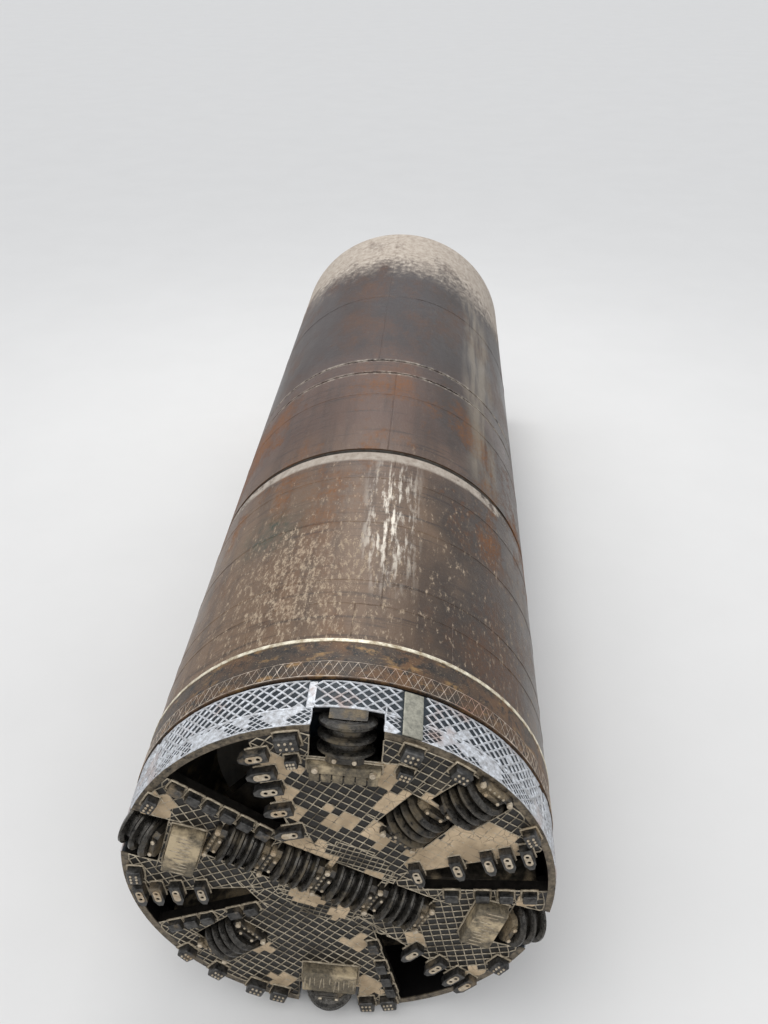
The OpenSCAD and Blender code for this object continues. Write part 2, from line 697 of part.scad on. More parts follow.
module feed_pipe() color("steelblue") slurry_pipe(-pipe_x);

module discharge_pipe() color("steelblue") slurry_pipe(pipe_x);

head_plate();
head_rim();
head_ribs();
crusher_cone();
face_saddles();
gauge_saddles();
scrapers();
lip_blocks();
rim_bits();
wear_blocks();
face_cutter(0);  // cutter_centre_1
face_cutter(1);  // cutter_centre_2
face_cutter(2);  // cutter_centre_3
face_cutter(3);  // cutter_centre_4
face_cutter(4);  // cutter_face_1
face_cutter(5);  // cutter_face_2
face_cutter(6);  // cutter_face_3
gauge_cutter(0);  // cutter_gauge_1
gauge_cutter(1);  // cutter_gauge_2
gauge_cutter(2);  // cutter_gauge_3
gauge_cutter(3);  // cutter_gauge_4
front_edge();
front_can();
crusher_ring();
bulkhead();
drive_housing();
drive_motors();
front_frame();
torque_ring();
rod(90);  // rod_top
rod(180);  // rod_left
rod(270);  // rod_bottom
rod(0);  // rod_right
middle_can();
middle_frame();
steering_barrels();
joint_ring();
tail_can();
jacking_ring();
walkway();
power_pack();
oil_tank();
electric_cabinet();
vent_duct();
feed_pipe();
discharge_pipe();
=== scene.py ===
import json
from math import atan2, ceil, cos, degrees, hypot, pi, radians, sin

import bmesh
import bpy
from mathutils import Matrix, Vector, noise

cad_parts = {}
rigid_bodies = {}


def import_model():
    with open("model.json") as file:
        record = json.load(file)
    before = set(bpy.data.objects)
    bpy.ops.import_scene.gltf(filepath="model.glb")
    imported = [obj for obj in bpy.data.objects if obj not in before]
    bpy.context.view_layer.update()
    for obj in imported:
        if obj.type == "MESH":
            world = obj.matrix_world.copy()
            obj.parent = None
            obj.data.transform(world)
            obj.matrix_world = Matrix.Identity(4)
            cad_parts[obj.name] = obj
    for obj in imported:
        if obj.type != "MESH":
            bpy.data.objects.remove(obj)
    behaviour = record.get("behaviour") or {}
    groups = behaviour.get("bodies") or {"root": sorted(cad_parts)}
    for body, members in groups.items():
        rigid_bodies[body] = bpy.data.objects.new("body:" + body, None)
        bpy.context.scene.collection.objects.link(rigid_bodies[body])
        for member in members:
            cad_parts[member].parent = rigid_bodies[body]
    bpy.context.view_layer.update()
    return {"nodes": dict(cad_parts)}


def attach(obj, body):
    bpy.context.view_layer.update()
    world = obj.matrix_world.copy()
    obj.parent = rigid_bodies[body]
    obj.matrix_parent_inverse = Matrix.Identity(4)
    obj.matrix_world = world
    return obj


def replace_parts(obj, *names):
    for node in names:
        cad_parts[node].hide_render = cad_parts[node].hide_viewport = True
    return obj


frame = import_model()
CAD = frame["nodes"]
# the axis's height, the rim's front edge, the main drive's rear face and the jacking ring's face
AXIS_Z, RIM_Y, DRIVE_BACK_Y, JACKING_Y = 1.512, -5.025, -3.045, 4.730

# Cans of the shield: rolled 45 mm steel plate, welded along one seam each, then painted primer that
# has rusted through. Slurry has dried on them at the tail, at the steering joint and in the joint's
# grooves, and the rock has scuffed the front can.


def tone(code):
    """A colour from its hex code, as Blender wants it."""
    parts = [int(code[i:i + 2], 16) / 255 for i in (0, 2, 4)]
    return (*[p / 12.92 if p < 0.04 else ((p + 0.055) / 1.055) ** 2.4 for p in parts], 1)


def put(t, kind, inputs, out=0, **settings):
    """Adds a node to the tree, sets or wires its inputs, and gives one of its outputs."""
    n = t.nodes.new("ShaderNode" + kind)
    for key, value in settings.items():
        setattr(n, key, value)
    for key, value in inputs.items():
        if isinstance(value, bpy.types.NodeSocket):
            t.links.new(value, n.inputs[key])
        else:
            n.inputs[key].default_value = tone(value) if isinstance(value, str) else value
    return n.outputs[out]


def where(t):
    """The place on the object, in metres."""
    return t.nodes["Texture Coordinate"].outputs["Object"]


def coord(t, axis, vector=None):
    """One coordinate of the place on the object, or of another vector: 0 is X, 1 is Y, 2 is Z."""
    return put(t, "SeparateXYZ", {"Vector": vector or where(t)}, axis)


def speckle(t, scale, detail=4, stretch=(1, 1, 1), shift=0, rough=0.6):
    """Noise from 0 to 1, stretched where the finish runs along the machine."""
    moved = put(t, "Mapping", {"Vector": where(t), "Scale": stretch, "Location": (shift, shift, shift)})
    return put(t, "TexNoise", {"Vector": moved, "Scale": scale, "Detail": detail, "Roughness": rough})


def above(t, value, low, high):
    """0 where the value is below low, 1 where it is above high."""
    return put(t, "MapRange", {"Value": value, "From Min": low, "From Max": high})


def calc(t, operation, a, b=0.0):
    return put(t, "Math", {0: a, 1: b}, operation=operation)


def chain(operation):
    """A function that joins two or more values by one operation."""
    def join(t, first, *others):
        for other in others:
            first = calc(t, operation, first, other)
        return first
    return join


times, total, most = chain("MULTIPLY"), chain("ADD"), chain("MAXIMUM")


def coat(t, share, under, over):
    """One colour laid over another, or two grey values mixed."""
    if isinstance(under, float) or isinstance(over, float):
        return put(t, "Mix", {0: share, 2: under, 3: over}, data_type="FLOAT")
    return put(t, "Mix", {0: share, 6: under, 7: over}, out=2, data_type="RGBA")


def new_finish(name, metallic, specular=0.5):
    m = bpy.data.materials.new(name)
    m.use_nodes = True
    t = m.node_tree
    shader = t.nodes["Principled BSDF"]
    shader.inputs["Metallic"].default_value = metallic
    shader.inputs["Specular IOR Level"].default_value = specular
    put(t, "TexCoord", {})
    return m, t


def close_finish(m, colour, roughness, heights):
    """Wires the colour, the roughness, and bumps given as (height, depth in metres)."""
    t = m.node_tree
    shader = t.nodes["Principled BSDF"]
    t.links.new(colour, shader.inputs["Base Color"])
    t.links.new(roughness, shader.inputs["Roughness"])
    normal = None
    for height, depth in heights:
        inputs = {"Height": height, "Distance": depth, "Strength": 1.0}
        if normal:
            inputs["Normal"] = normal
        normal = put(t, "Bump", inputs)
    t.links.new(normal, shader.inputs["Normal"])
    return m


def band(t, value, low, high, soft):
    """1 between low and high, with soft edges."""
    up = above(t, value, low - soft, low + soft)
    down = above(t, value, high + soft, high - soft)
    return times(t, up, down)


def from_axis(t):
    """The angle round the machine's axis in radians (half pi on the crown) and the distance from it."""
    x, z = coord(t, 0), calc(t, "SUBTRACT", coord(t, 2), AXIS_Z)
    squares = total(t, times(t, x, x), times(t, z, z))
    return calc(t, "ARCTAN2", z, x), calc(t, "SQRT", squares)


def shield_finish():
    m, t = new_finish("shield_rust", 0.2, 0.35)
    y, z = coord(t, 1), coord(t, 2)
    turn, radius = from_axis(t)
    broad = speckle(t, 0.7, 5, (1, 0.35, 1))
    patch = speckle(t, 1.6, 8, (1, 0.5, 1), 3)
    streak = speckle(t, 9, 6, (1, 0.08, 1), 7)
    hoop = speckle(t, 6, 7, (0.25, 3.0, 0.25), 13)
    fine = speckle(t, 45, 8, (1, 0.6, 1), 1, 0.7)
    crust = speckle(t, 14, 9, (1, 0.7, 1), 11, 0.75)
    forward = above(t, y, -0.9, -2.4)
    # primer and rust: lighter and warmer in front, purple-brown behind the joint, darkest at the tail
    front = coat(t, above(t, broad, 0.35, 0.65), "5b4837", "6f5843")
    rear = coat(t, above(t, broad, 0.35, 0.65), "2a201c", "382a23")
    colour = coat(t, forward, coat(t, above(t, y, 0.9, 0.2), rear, "533c2f"), front)
    right = times(t, above(t, total(t, turn, times(t, patch, 0.3)), 1.5, 1.25), above(t, patch, 0.3, 0.5))
    colour = coat(t, times(t, right, 0.85), colour, "2d231b")
    colour = coat(t, times(t, above(t, streak, 0.48, 0.72), 0.6), colour, "33271f")
    colour = coat(t, times(t, above(t, hoop, 0.54, 0.66), 0.65), colour, "2a201a")
    rust_y = most(t, band(t, y, -2.7, 0.1, 0.4), 0.3)
    rust = times(t, above(t, total(t, patch, times(t, crust, 0.4)), 0.70, 0.84), rust_y)
    rust = times(t, rust, above(t, fine, 0.35, 0.55))
    colour = coat(t, times(t, rust, 0.85), colour, "80532f")
    green = times(t, band(t, turn, 1.95, 2.25, 0.12), band(t, y, -2.95, -2.45, 0.15))
    colour = coat(t, times(t, green, above(t, crust, 0.4, 0.6)), colour, "3d4133")
    # pale scuffs: dense on the crown's left between the first seams, sparse elsewhere
    dense = times(t, band(t, turn, 1.52, 2.15, 0.25), band(t, y, -4.2, -2.85, 0.25))
    worn = total(t, times(t, forward, 0.03), times(t, dense, 0.09))
    flecks = speckle(t, 30, 9, (1, 0.3, 1), 23, 0.75)
    scuff_at = times(t, above(t, total(t, worn, flecks), 0.585, 0.66), above(t, fine, 0.42, 0.56))
    scuff_at = times(t, scuff_at, most(t, forward, 0.22))
    colour = coat(t, times(t, scuff_at, 0.8), colour, "b7a48c")
    # painted highlight: pale streaks painted along the crown where the wet steel shines
    lines = speckle(t, 26, 6, (1, 0.12, 1), 17)
    crown_highlight = times(t, band(t, turn, 1.30, 1.50, 0.08), band(t, y, -3.4, -1.9, 0.35))
    crown_highlight = times(t, crown_highlight, above(t, total(t, lines, times(t, crust, 0.4)), 0.70, 0.82))
    colour = coat(t, crown_highlight, colour, "d9cfbf")
    dark = times(t, above(t, crust, 0.6, 0.75), above(t, patch, 0.45, 0.6))
    colour = coat(t, dark, colour, "241c1a")
    # dried slurry: a white ring before the steering joint, lines in the grooves, the whole tail,
    # and a long run on the right
    edge = total(t, y, times(t, calc(t, "SUBTRACT", patch, 0.5), -4.5))
    edge = total(t, edge, times(t, calc(t, "SUBTRACT", crust, 0.5), 1.6))
    tail = times(t, above(t, edge, 3.1, 4.1), above(t, total(t, crust, above(t, y, 3.0, 5.6)), 0.5, 0.9))
    joint = times(t, band(t, y, -1.76, -1.62, 0.02),
                  above(t, total(t, crust, times(t, above(t, z, 2.2, 2.9), 0.35)), 0.55, 0.68))
    grooves = most(t, band(t, y, 0.095, 0.15, 0.02), band(t, y, 0.42, 0.475, 0.02))
    grooves = times(t, grooves, above(t, crust, 0.42, 0.56))
    run = times(t, band(t, total(t, turn, times(t, patch, 0.25)), 0.78, 1.02, 0.05),
                band(t, y, -1.4, 3.4, 0.3), above(t, streak, 0.35, 0.55))
    slurry = most(t, tail, joint, grooves)
    colour = coat(t, times(t, run, 0.75), colour, "7f7362")
    pale = coat(t, above(t, crust, 0.3, 0.7), "8b7d70", "bbb1a4")
    colour = coat(t, slurry, colour, pale)
    # the cans' insides: grey primer, with painted shade in near-black ahead of the bulkhead
    inner = above(t, radius, 1.490, 1.485)
    primer_and_shade = coat(t, above(t, crust, 0.45, 0.7), "6a6761", "4a3c32")
    # painted shade: the inside ahead of the bulkhead is painted near-black
    primer_and_shade = coat(t, above(t, y, -3.8, -4.0), primer_and_shade, coat(t, crust, "0e0d0c", "1d1a17"))
    colour = coat(t, inner, colour, primer_and_shade)
    wet = above(t, broad, 0.62, 0.38)
    roughness = coat(t, wet, 0.48, 0.3)
    roughness = coat(t, most(t, rust, most(t, slurry, scuff_at)), roughness, 0.8)
    return close_finish(m, colour, roughness, [(broad, 0.01), (crust, 0.005), (fine, 0.002), (slurry, 0.006)])


def dress(finish, *nodes):
    """Gives CAD nodes their finish."""
    for n in nodes:
        CAD[n].data.materials.clear()
        CAD[n].data.materials.append(finish)


shield_rust = shield_finish()
dress(shield_rust, "front_can", "middle_can", "joint_ring", "tail_can")

# Weld seams of the cans: hand-laid beads, ground nearly flush, round the can where two rings of plate
# meet and along it where the rolled plate closes.


def clear_hand():
    if bpy.context.object and bpy.context.object.mode != "OBJECT":
        bpy.ops.object.mode_set(mode="OBJECT")
    bpy.ops.object.select_all(action="DESELECT")


def hold(ob):
    """Makes one object the selected and active one."""
    clear_hand()
    ob.select_set(True)
    bpy.context.view_layer.objects.active = ob


def edit(ob):
    """Opens an object in edit mode with all of it selected."""
    hold(ob)
    bpy.ops.object.mode_set(mode="EDIT")
    bpy.ops.mesh.select_all(action="SELECT")


def settle(name):
    """Names the primitive just added and moves its place into its mesh."""
    ob = bpy.context.object
    ob.name = ob.data.name = name
    bpy.ops.object.transform_apply(location=True, rotation=True, scale=True)
    return ob


def start(name):
    """Settles the primitive just added and opens it in edit mode."""
    ob = settle(name)
    bpy.ops.object.mode_set(mode="EDIT")
    return ob


def pick(rule, kind="FACE"):
    """Selects the faces, edges or corners whose middle passes the rule."""
    bpy.ops.mesh.select_mode(type=kind)
    bpy.ops.mesh.select_all(action="DESELECT")
    mesh = bpy.context.object.data
    bm = bmesh.from_edit_mesh(mesh)
    if kind == "FACE":
        for f in bm.faces:
            f.select_set(bool(rule(f.calc_center_median())))
    else:
        for e in bm.edges:
            a, b = (v.co for v in e.verts)
            e.select_set(bool(rule((a + b) / 2, (b - a).normalized(), e)))
    bm.select_flush_mode()
    bmesh.update_edit_mesh(mesh)


def drop(rule):
    """Takes out the faces whose middle passes the rule."""
    pick(rule)
    bpy.ops.mesh.delete(type="FACE")


def wobble(offset, seed):
    """Moves every corner a little, as hand-laid weld has it."""
    bpy.ops.mesh.select_all(action="SELECT")
    bpy.ops.transform.vertex_random(offset=offset, seed=seed)


def cut_along(cuts):
    """Cuts the edges that run along the machine into shorter ones."""
    pick(lambda c, way, e: abs(way.y) > 0.9, "EDGE")
    bpy.ops.mesh.subdivide(number_cuts=cuts)


def fit(ob, body, finish=None, smooth=40):
    """Ends a piece: shading, finish and the body that carries it."""
    hold(ob)
    bpy.ops.object.shade_smooth_by_angle(angle=radians(smooth))
    if not len(ob.data.materials):
        ob.data.materials.append(finish)
    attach(ob, body)
    return ob


def use(ob, kind, **settings):
    """A modifier, set and applied."""
    hold(ob)
    bpy.ops.object.modifier_add(type=kind)
    m = ob.modifiers[-1]
    for key, value in settings.items():
        setattr(m, key, value)
    bpy.ops.object.modifier_apply(modifier=m.name)


def lay_beads(net, thickness):
    """Turns a net's edges into weld beads."""
    use(net, "WIREFRAME", thickness=thickness, use_boundary=True, use_even_offset=False)


def gather(name, parts):
    """Makes one object of several."""
    clear_hand()
    for p in parts:
        p.select_set(True)
    bpy.context.view_layer.objects.active = parts[0]
    if len(parts) > 1:
        bpy.ops.object.join()
    ob = bpy.context.object
    ob.name = ob.data.name = name
    return ob


def ease(ob, width, segments=2):
    """Rounds the sharp edges."""
    use(ob, "BEVEL", width=width, segments=segments, limit_method="ANGLE", angle_limit=radians(35))


def build(name, parts, body, finish, edge, segments=2):
    """Joins parts into one piece, eases its edges and fits it to its body."""
    ob = gather(name, parts)
    ease(ob, edge, segments)
    return fit(ob, body, finish)


# the turn that lays a primitive's own axis along the machine, and where the seams' middle lies
LENGTHWISE = (pi / 2, 0, 0)
SEAM_R = 1.4965
# body, name, where the ring seams lie behind the rim, and (angle, from, to) of the seams along the can
SEAMS = [
    ("front_shield", "front_seams", (1.19, 1.47, 2.25, 2.95),
     ((88, 0.79, 1.19), (81, 1.19, 3.39), (118, 0.79, 1.19), (60, 0.79, 1.19))),
    ("rear_shield", "rear_seams", (4.62, 7.48, 9.2), ((84, 3.48, 5.13), (92, 5.49, 10.1), (268, 3.48, 10.1))),
]
for body, name, rings, along in SEAMS:
    parts = []
    for d in rings:
        clear_hand()
        bpy.ops.mesh.primitive_torus_add(major_segments=300, minor_segments=6, major_radius=SEAM_R,
                                         minor_radius=0.006, location=(0, RIM_Y + d, AXIS_Z),
                                         rotation=LENGTHWISE)
        parts.append(start(name))
        wobble(0.0015, int(d * 10))
    for a, d0, d1 in along:
        clear_hand()
        middle = (SEAM_R * cos(radians(a)), RIM_Y + (d0 + d1) / 2, AXIS_Z + SEAM_R * sin(radians(a)))
        bpy.ops.mesh.primitive_cylinder_add(vertices=8, radius=0.007, depth=d1 - d0, location=middle,
                                            rotation=LENGTHWISE)
        parts.append(start(name))
        cut_along(ceil((d1 - d0) / 0.03))
        wobble(0.0015, int(a))
    fit(gather(name, parts), body, shield_rust)

# Front edge of the shield: a forged ring, hard-faced with crossing weld beads over rusted steel, and a
# thick weld ring behind them that is worn, with a painted highlight along it where its bevel catches the
# light.


def edge_finish():
    m, t = new_finish("edge_worn", 0.35)
    y = coord(t, 1)
    turn, radius = from_axis(t)
    patch = speckle(t, 2.5, 8, shift=5)
    crust = speckle(t, 16, 9, shift=2, rough=0.7)
    fine = speckle(t, 70, 6, shift=9)
    colour = coat(t, above(t, patch, 0.4, 0.6), "3f342a", "66492f")
    colour = coat(t, above(t, speckle(t, 5, 8, (1, 2, 1), 21), 0.56, 0.66), colour, "8a6b42")
    colour = coat(t, above(t, crust, 0.50, 0.62), colour, "25201c")
    colour = coat(t, times(t, above(t, fine, 0.58, 0.7), 0.6), colour, "a08c70")
    # painted shade: the ring's inside is painted near-black
    colour = coat(t, above(t, radius, 1.490, 1.485), colour, coat(t, crust, "0e0d0c", "1d1a17"))
    # the weld ring: worn, and painted near-white as a highlight where its bevel catches the light
    ring = band(t, y, RIM_Y + 0.759, RIM_Y + 0.792, 0.002)
    ring_highlight = coat(t, above(t, crust, 0.38, 0.6), "9c8a6c", "efe6cf")
    colour = coat(t, ring, colour, ring_highlight)
    roughness = coat(t, ring, coat(t, patch, 0.35, 0.7), 0.45)
    return close_finish(m, colour, roughness, [(crust, 0.004), (fine, 0.001)])


def bead_finish(name, light, dark, stain, metallic, stain_share=0.62):
    m, t = new_finish(name, metallic)
    patch = speckle(t, 3, 6, shift=4)
    crust = speckle(t, 30, 8, shift=6, rough=0.7)
    fine = speckle(t, 120, 4, shift=8)
    colour = coat(t, above(t, crust, 0.35, 0.65), dark, light)
    colour = coat(t, above(t, patch, stain_share, stain_share + 0.15), colour, stain)
    return close_finish(m, colour, coat(t, crust, 0.25, 0.6), [(crust, 0.002), (fine, 0.0008)])


edge_bead = bead_finish("edge_bead", "dccfbf", "a08f7c", "b98a74", 0.35, 0.55)
dress(edge_finish(), "front_edge")


def tube(name, radius, d0, d1, around):
    """An open sheet round the machine, from d0 to d1 behind the rim's edge."""
    clear_hand()
    bpy.ops.mesh.primitive_cylinder_add(vertices=around, radius=radius, depth=d1 - d0,
                                        end_fill_type="NOTHING", rotation=LENGTHWISE,
                                        location=(0, RIM_Y + (d0 + d1) / 2, AXIS_Z))
    return start(name)


def tube_cells(name, radius, d0, d1, around, rows):
    """A sheet round the machine whose squares are each cut in four from their middle."""
    ob = tube(name, radius, d0, d1, around)
    if rows > 1:
        cut_along(rows - 1)
    bpy.ops.mesh.select_mode(type="FACE")
    bpy.ops.mesh.select_all(action="SELECT")
    bpy.ops.mesh.poke()
    return ob


edge_net = tube_cells("edge_beads", 1.5008, 0.424, 0.562, 152, 1)
pick(lambda c, way, e: abs(way.y) > 0.95, "EDGE")
bpy.ops.mesh.dissolve_edges(use_verts=False)
wobble(0.0025, 3)
lay_beads(edge_net, 0.0185)
fit(edge_net, "front_shield", edge_bead, smooth=180)

# Rim of the cutterhead: a rolled ring, hard-faced all over with crossed weld beads, coarse towards the
# shield and fine towards the rock, with plain strips and thicker wear plates let in between.


def facing_finish():
    m, t = new_finish("rim_steel", 0.55)
    y = coord(t, 1)
    patch = speckle(t, 3, 6, shift=4)
    crust = speckle(t, 24, 8, shift=6, rough=0.7)
    colour = coat(t, above(t, crust, 0.35, 0.65), "1c2226", "343b40")
    colour = coat(t, above(t, patch, 0.6, 0.72), colour, "5a4a42")
    edge = above(t, y, RIM_Y + 0.012, RIM_Y + 0.006)
    colour = coat(t, edge, colour, coat(t, above(t, crust, 0.35, 0.62), "2b2621", "7b6f5d"))
    turn, radius = from_axis(t)
    # painted shade: the rim's inside, except its front edge strip, is painted near-black
    inside = times(t, above(t, radius, 1.475, 1.465), calc(t, "SUBTRACT", 1.0, edge))
    colour = coat(t, inside, colour, "131110")
    return close_finish(m, colour, coat(t, crust, 0.3, 0.6), [(crust, 0.003)])


rim_bead = bead_finish("rim_bead", "e3e6ea", "9c9a99", "b09a90", 0.45, 0.55)
rim_plate = bead_finish("rim_plate", "a9a595", "77756a", "8d8a7a", 0.5)
dress(facing_finish(), "head_rim")

# radius of the rim's beads and of its inlays, and where they end behind the edge
BEADS_R, INLAYS_R, BEADS_END, INLAYS_END = 1.4895, 1.489, 0.388, 0.385
# what is let in between the beads: name, thickness, where it starts behind the edge, and the angle and
# half width of each in degrees
INLAYS = [("rim_strips", 0.004, 0.150, ((95.5, 1.1), (23, 1.0), (145, 1.2), (207, 1.1), (310, 1.1))),
          ("rim_plates", 0.011, 0.012, ((70.5, 2.7), (190, 2.7), (249, 2.7)))]
# gauge cutters: angles, place of their middles, lean, and how far their windows run behind the edge
GAUGE_A = [86, 163, 266, 343]
GAUGE_R, GAUGE_Y, LEAN, GAUGE_DEEP = 1.3495, RIM_Y + 0.084, radians(25), 0.168
# (reach, direction) of each side of a cutter's window, from its middle
GAUGE_WINDOW = [(0.229, (0, 0, 1)), (0.229, (0, 0, -1)), (0.210, (0, 1, 0)), (0.160, (-1, 0, 0))]
FACE_WINDOW = [(0.180, (1, 0, 0)), (0.180, (-1, 0, 0)), (0.199, (0, 0, 1)), (0.199, (0, 0, -1))]


def spot(x, y, z):
    """A place given by its height over the machine's axis."""
    return Matrix.Translation((x, y, AXIS_Z + z))


def polar(a, r, y=0.0):
    """The place at an angle on the face: X is radial there and Z runs round the face."""
    return spot(0, y, 0) @ Matrix.Rotation(radians(-a), 4, "Y") @ Matrix.Translation((r, 0, 0))


def gauge_place(a):
    """The middle of a gauge cutter, leaning outward."""
    return polar(a, GAUGE_R, GAUGE_Y) @ Matrix.Rotation(LEAN, 4, "Z")


def angle_of(c):
    return degrees(atan2(c.z - AXIS_Z, c.x)) % 360


def radius_of(c):
    return hypot(c.x, c.z - AXIS_Z)


def off(a, b):
    """How far one angle is from another, in degrees."""
    return abs((a - b + 180) % 360 - 180)


def window(place, sides):
    """The planes round a window: a point and the outward direction of each."""
    turn = place.to_3x3()
    return [(place @ (Vector(way) * reach), turn @ Vector(way)) for reach, way in sides]


def cut_out(planes):
    """Cuts the cells along each plane near a window, then takes out what lies inside all of them."""
    for co, way in planes:
        pick(lambda c: all((c - p).dot(w) < 0.1 for p, w in planes))
        bpy.ops.mesh.bisect(plane_co=co, plane_no=way)
    drop(lambda c: all((c - p).dot(w) < 0 for p, w in planes))


def split_off(rule, name):
    """Copies the faces that pass the rule into a piece of their own."""
    pick(rule)
    bpy.ops.mesh.duplicate()
    bpy.ops.mesh.separate(type="SELECTED")
    return [o for o in bpy.context.scene.objects if o.name.startswith(name + ".")][0]


def clean_cells(around_pitch):
    """Turns the quarters into diamonds, and takes out the cells under strips, plates and cutters."""
    pick(lambda c, way, e: not e.is_boundary and (abs(way.y) > 0.95 or abs(way.y) < 0.05), "EDGE")
    bpy.ops.mesh.dissolve_edges(use_verts=False)
    for a in GAUGE_A:
        end = (Vector((0, RIM_Y + GAUGE_DEEP, 0)), Vector((0, 1, 0)))
        cut_out(window(gauge_place(a), GAUGE_WINDOW) + [end])
    drop(lambda c: any(off(angle_of(c), a) < half + around_pitch and c.y > RIM_Y + start_at
                       for name, thick, start_at, places in INLAYS for a, half in places))


nets, fills = [], []
# name, from, to, cells round the rim, rows, bead, share of cells that are welded full
for name, d0, d1, around, rows, bead, full in [("rim_beads_rear", 0.150, BEADS_END, 110, 3, 0.023, 0.08),
                                               ("rim_beads_front", 0.012, 0.140, 164, 3, 0.0135, 0.19)]:
    net = tube_cells(name, BEADS_R, d0, d1, around, rows)
    clean_cells(90 / around)
    fills.append(split_off(lambda c: noise.noise(c * 9 + Vector((d0 * 50, 0, 0))) > 0.62 - full * 2.6, name))
    wobble(0.0035, around)
    lay_beads(net, bead)
    nets.append(net)
fit(gather("rim_beads", nets), "cutterhead", rim_bead, smooth=180)
rim_fill = gather("rim_fills", fills)
use(rim_fill, "SOLIDIFY", thickness=0.009, offset=0.2)
fit(rim_fill, "cutterhead", rim_bead)

for name, thick, start_at, places in INLAYS:
    parts = []
    for a, half in places:
        part = tube(name, INLAYS_R, start_at, INLAYS_END, 720)
        drop(lambda c: off(angle_of(c), a) > half)
        cut_along(36)
        use(part, "SOLIDIFY", thickness=thick, offset=1)
        use(part, "BEVEL", width=0.003, segments=2, limit_method="ANGLE")
        parts.append(part)
    fit(gather(name, parts), "cutterhead", rim_bead if name == "rim_strips" else rim_plate)

# Face plate: an 80 mm plate, hard-faced with thin crossed beads whose direction changes from sector to
# sector. Between the beads lies black steel, and cream mud has dried flat in many of the cells.


def face_finish():
    m, t = new_finish("face_steel", 0.35)
    patch = speckle(t, 2.2, 8, shift=4)
    crust = speckle(t, 22, 8, shift=6, rough=0.7)
    colour = coat(t, above(t, crust, 0.35, 0.65), "12110f", "26221e")
    colour = coat(t, above(t, patch, 0.6, 0.75), colour, "4a4236")
    return close_finish(m, colour, coat(t, crust, 0.25, 0.55), [(crust, 0.004)])


def mud_finish(name, dry, damp, metallic=0.0):
    m, t = new_finish(name, metallic)
    patch = speckle(t, 4, 6, shift=4)
    crust = speckle(t, 40, 8, shift=6, rough=0.7)
    cracks = put(t, "TexVoronoi", {"Vector": where(t), "Scale": 13.0}, feature="DISTANCE_TO_EDGE")
    colour = coat(t, above(t, patch, 0.4, 0.62), damp, dry)
    colour = coat(t, above(t, crust, 0.6, 0.75), colour, damp)
    crack = times(t, above(t, cracks, 0.03, 0.0), above(t, patch, 0.5, 0.6))
    colour = coat(t, crack, colour, "5e5040")
    bumps = [(patch, 0.01), (crust, 0.003), (crack, -0.003)]
    return close_finish(m, colour, coat(t, crust, 0.6, 0.95), bumps)


face_bead = bead_finish("face_bead", "c3b69f", "7f7463", "5d5446", 0.3, 0.5)
dry_mud = mud_finish("dry_mud", "c2ab8c", "9a866b")
dress(face_finish(), "head_plate", "crusher_cone")

# radius of the bead net and of the sectors' common middle
NET_R, MIDDLE_R = 1.434, 0.40
# sector from, to, inner and outer radius, turn of its beads, distance between them
SECTORS = [(8, 112, MIDDLE_R, NET_R + 0.002, 32, 0.066), (112, 195, MIDDLE_R, NET_R + 0.002, -24, 0.068),
           (195, 300, MIDDLE_R, NET_R + 0.002, 38, 0.066), (300, 368, MIDDLE_R, NET_R + 0.002, -12, 0.064),
           (0, 360, 0.0, MIDDLE_R, 20, 0.045)]
# [x, z, direction] of the low and the high edge of each muck opening
OPENINGS = [((-0.280, 0.478, 105), (-0.400, 0.500, 145)), ((0.600, -0.025, 3), (0.509, 0.150, 18.5)),
            ((-0.640, -0.100, 187.5), (-0.540, -0.250, 202)), ((0.255, -0.530, 283), (0.400, -0.600, 318))]
# angle and distance of the cutters that lie flat in the face
FACE_CUTTERS = [(-27, -0.720), (-27, -0.320), (-27, 0.080), (-27, 0.480), (44.3, 1.240), (50.7, 0.865),
                (221.4, 1.040)]
# x, z and radius of the patches of dried mud
MUD = [(-0.35, 1.12, 0.14), (-0.34, 0.94, 0.12), (-0.26, 0.74, 0.09), (0.03, 0.62, 0.14), (-0.17, 0.36, 0.20),
       (0.30, 0.52, 0.15), (0.42, 0.80, 0.15), (0.68, 0.78, 0.22), (0.98, 0.50, 0.22), (0.64, 0.31, 0.20),
       (0.36, 1.10, 0.14), (-0.10, 0.14, 0.15), (0.22, 0.10, 0.10), (-0.22, -0.17, 0.13), (0.55, -0.58, 0.12),
       (0.20, -1.25, 0.14), (-0.45, -1.20, 0.09), (-0.70, -0.66, 0.12), (-1.16, 0.72, 0.12),
       (1.28, -0.10, 0.12), (0.15, -0.66, 0.09), (-0.74, 0.36, 0.10), (0.0, -0.34, 0.08),
       (-0.56, -0.80, 0.08), (1.0, -1.0, 0.1)]

sheets = []
for a0, a1, r0, r1, turn, cell in SECTORS:
    count = ceil(2 * r1 / cell) + 2
    clear_hand()
    bpy.ops.mesh.primitive_grid_add(x_subdivisions=count, y_subdivisions=count, size=count * cell,
                                    location=(0, RIM_Y - 0.002, AXIS_Z), rotation=(pi / 2, radians(turn), 0))
    sheets.append(start("face_beads"))
    drop(lambda c: not (r0 <= radius_of(c) < r1 and (angle_of(c) - a0) % 360 <= a1 - a0))
net = gather("face_beads", sheets)
edit(net)
bm = bmesh.from_edit_mesh(net.data)
for v in bm.verts:
    r = radius_of(v.co)
    if r > NET_R:
        v.co.x, v.co.z = v.co.x * NET_R / r, AXIS_Z + (v.co.z - AXIS_Z) * NET_R / r
bmesh.update_edit_mesh(net.data)
for low, high in OPENINGS:
    a, b = Vector((low[0], 0, AXIS_Z + low[1])), Vector((high[0], 0, AXIS_Z + high[1]))
    u, v = radians(low[2]), radians(high[2])
    chord = b - a
    cut_out([(a, Vector((sin(u), 0, -cos(u)))), (b, Vector((-sin(v), 0, cos(v)))),
             (a, Vector((-chord.z, 0, chord.x)).normalized())])
for a, r in FACE_CUTTERS:
    cut_out(window(polar(a, r), FACE_WINDOW))
for a in GAUGE_A:
    cut_out(window(gauge_place(a), GAUGE_WINDOW))


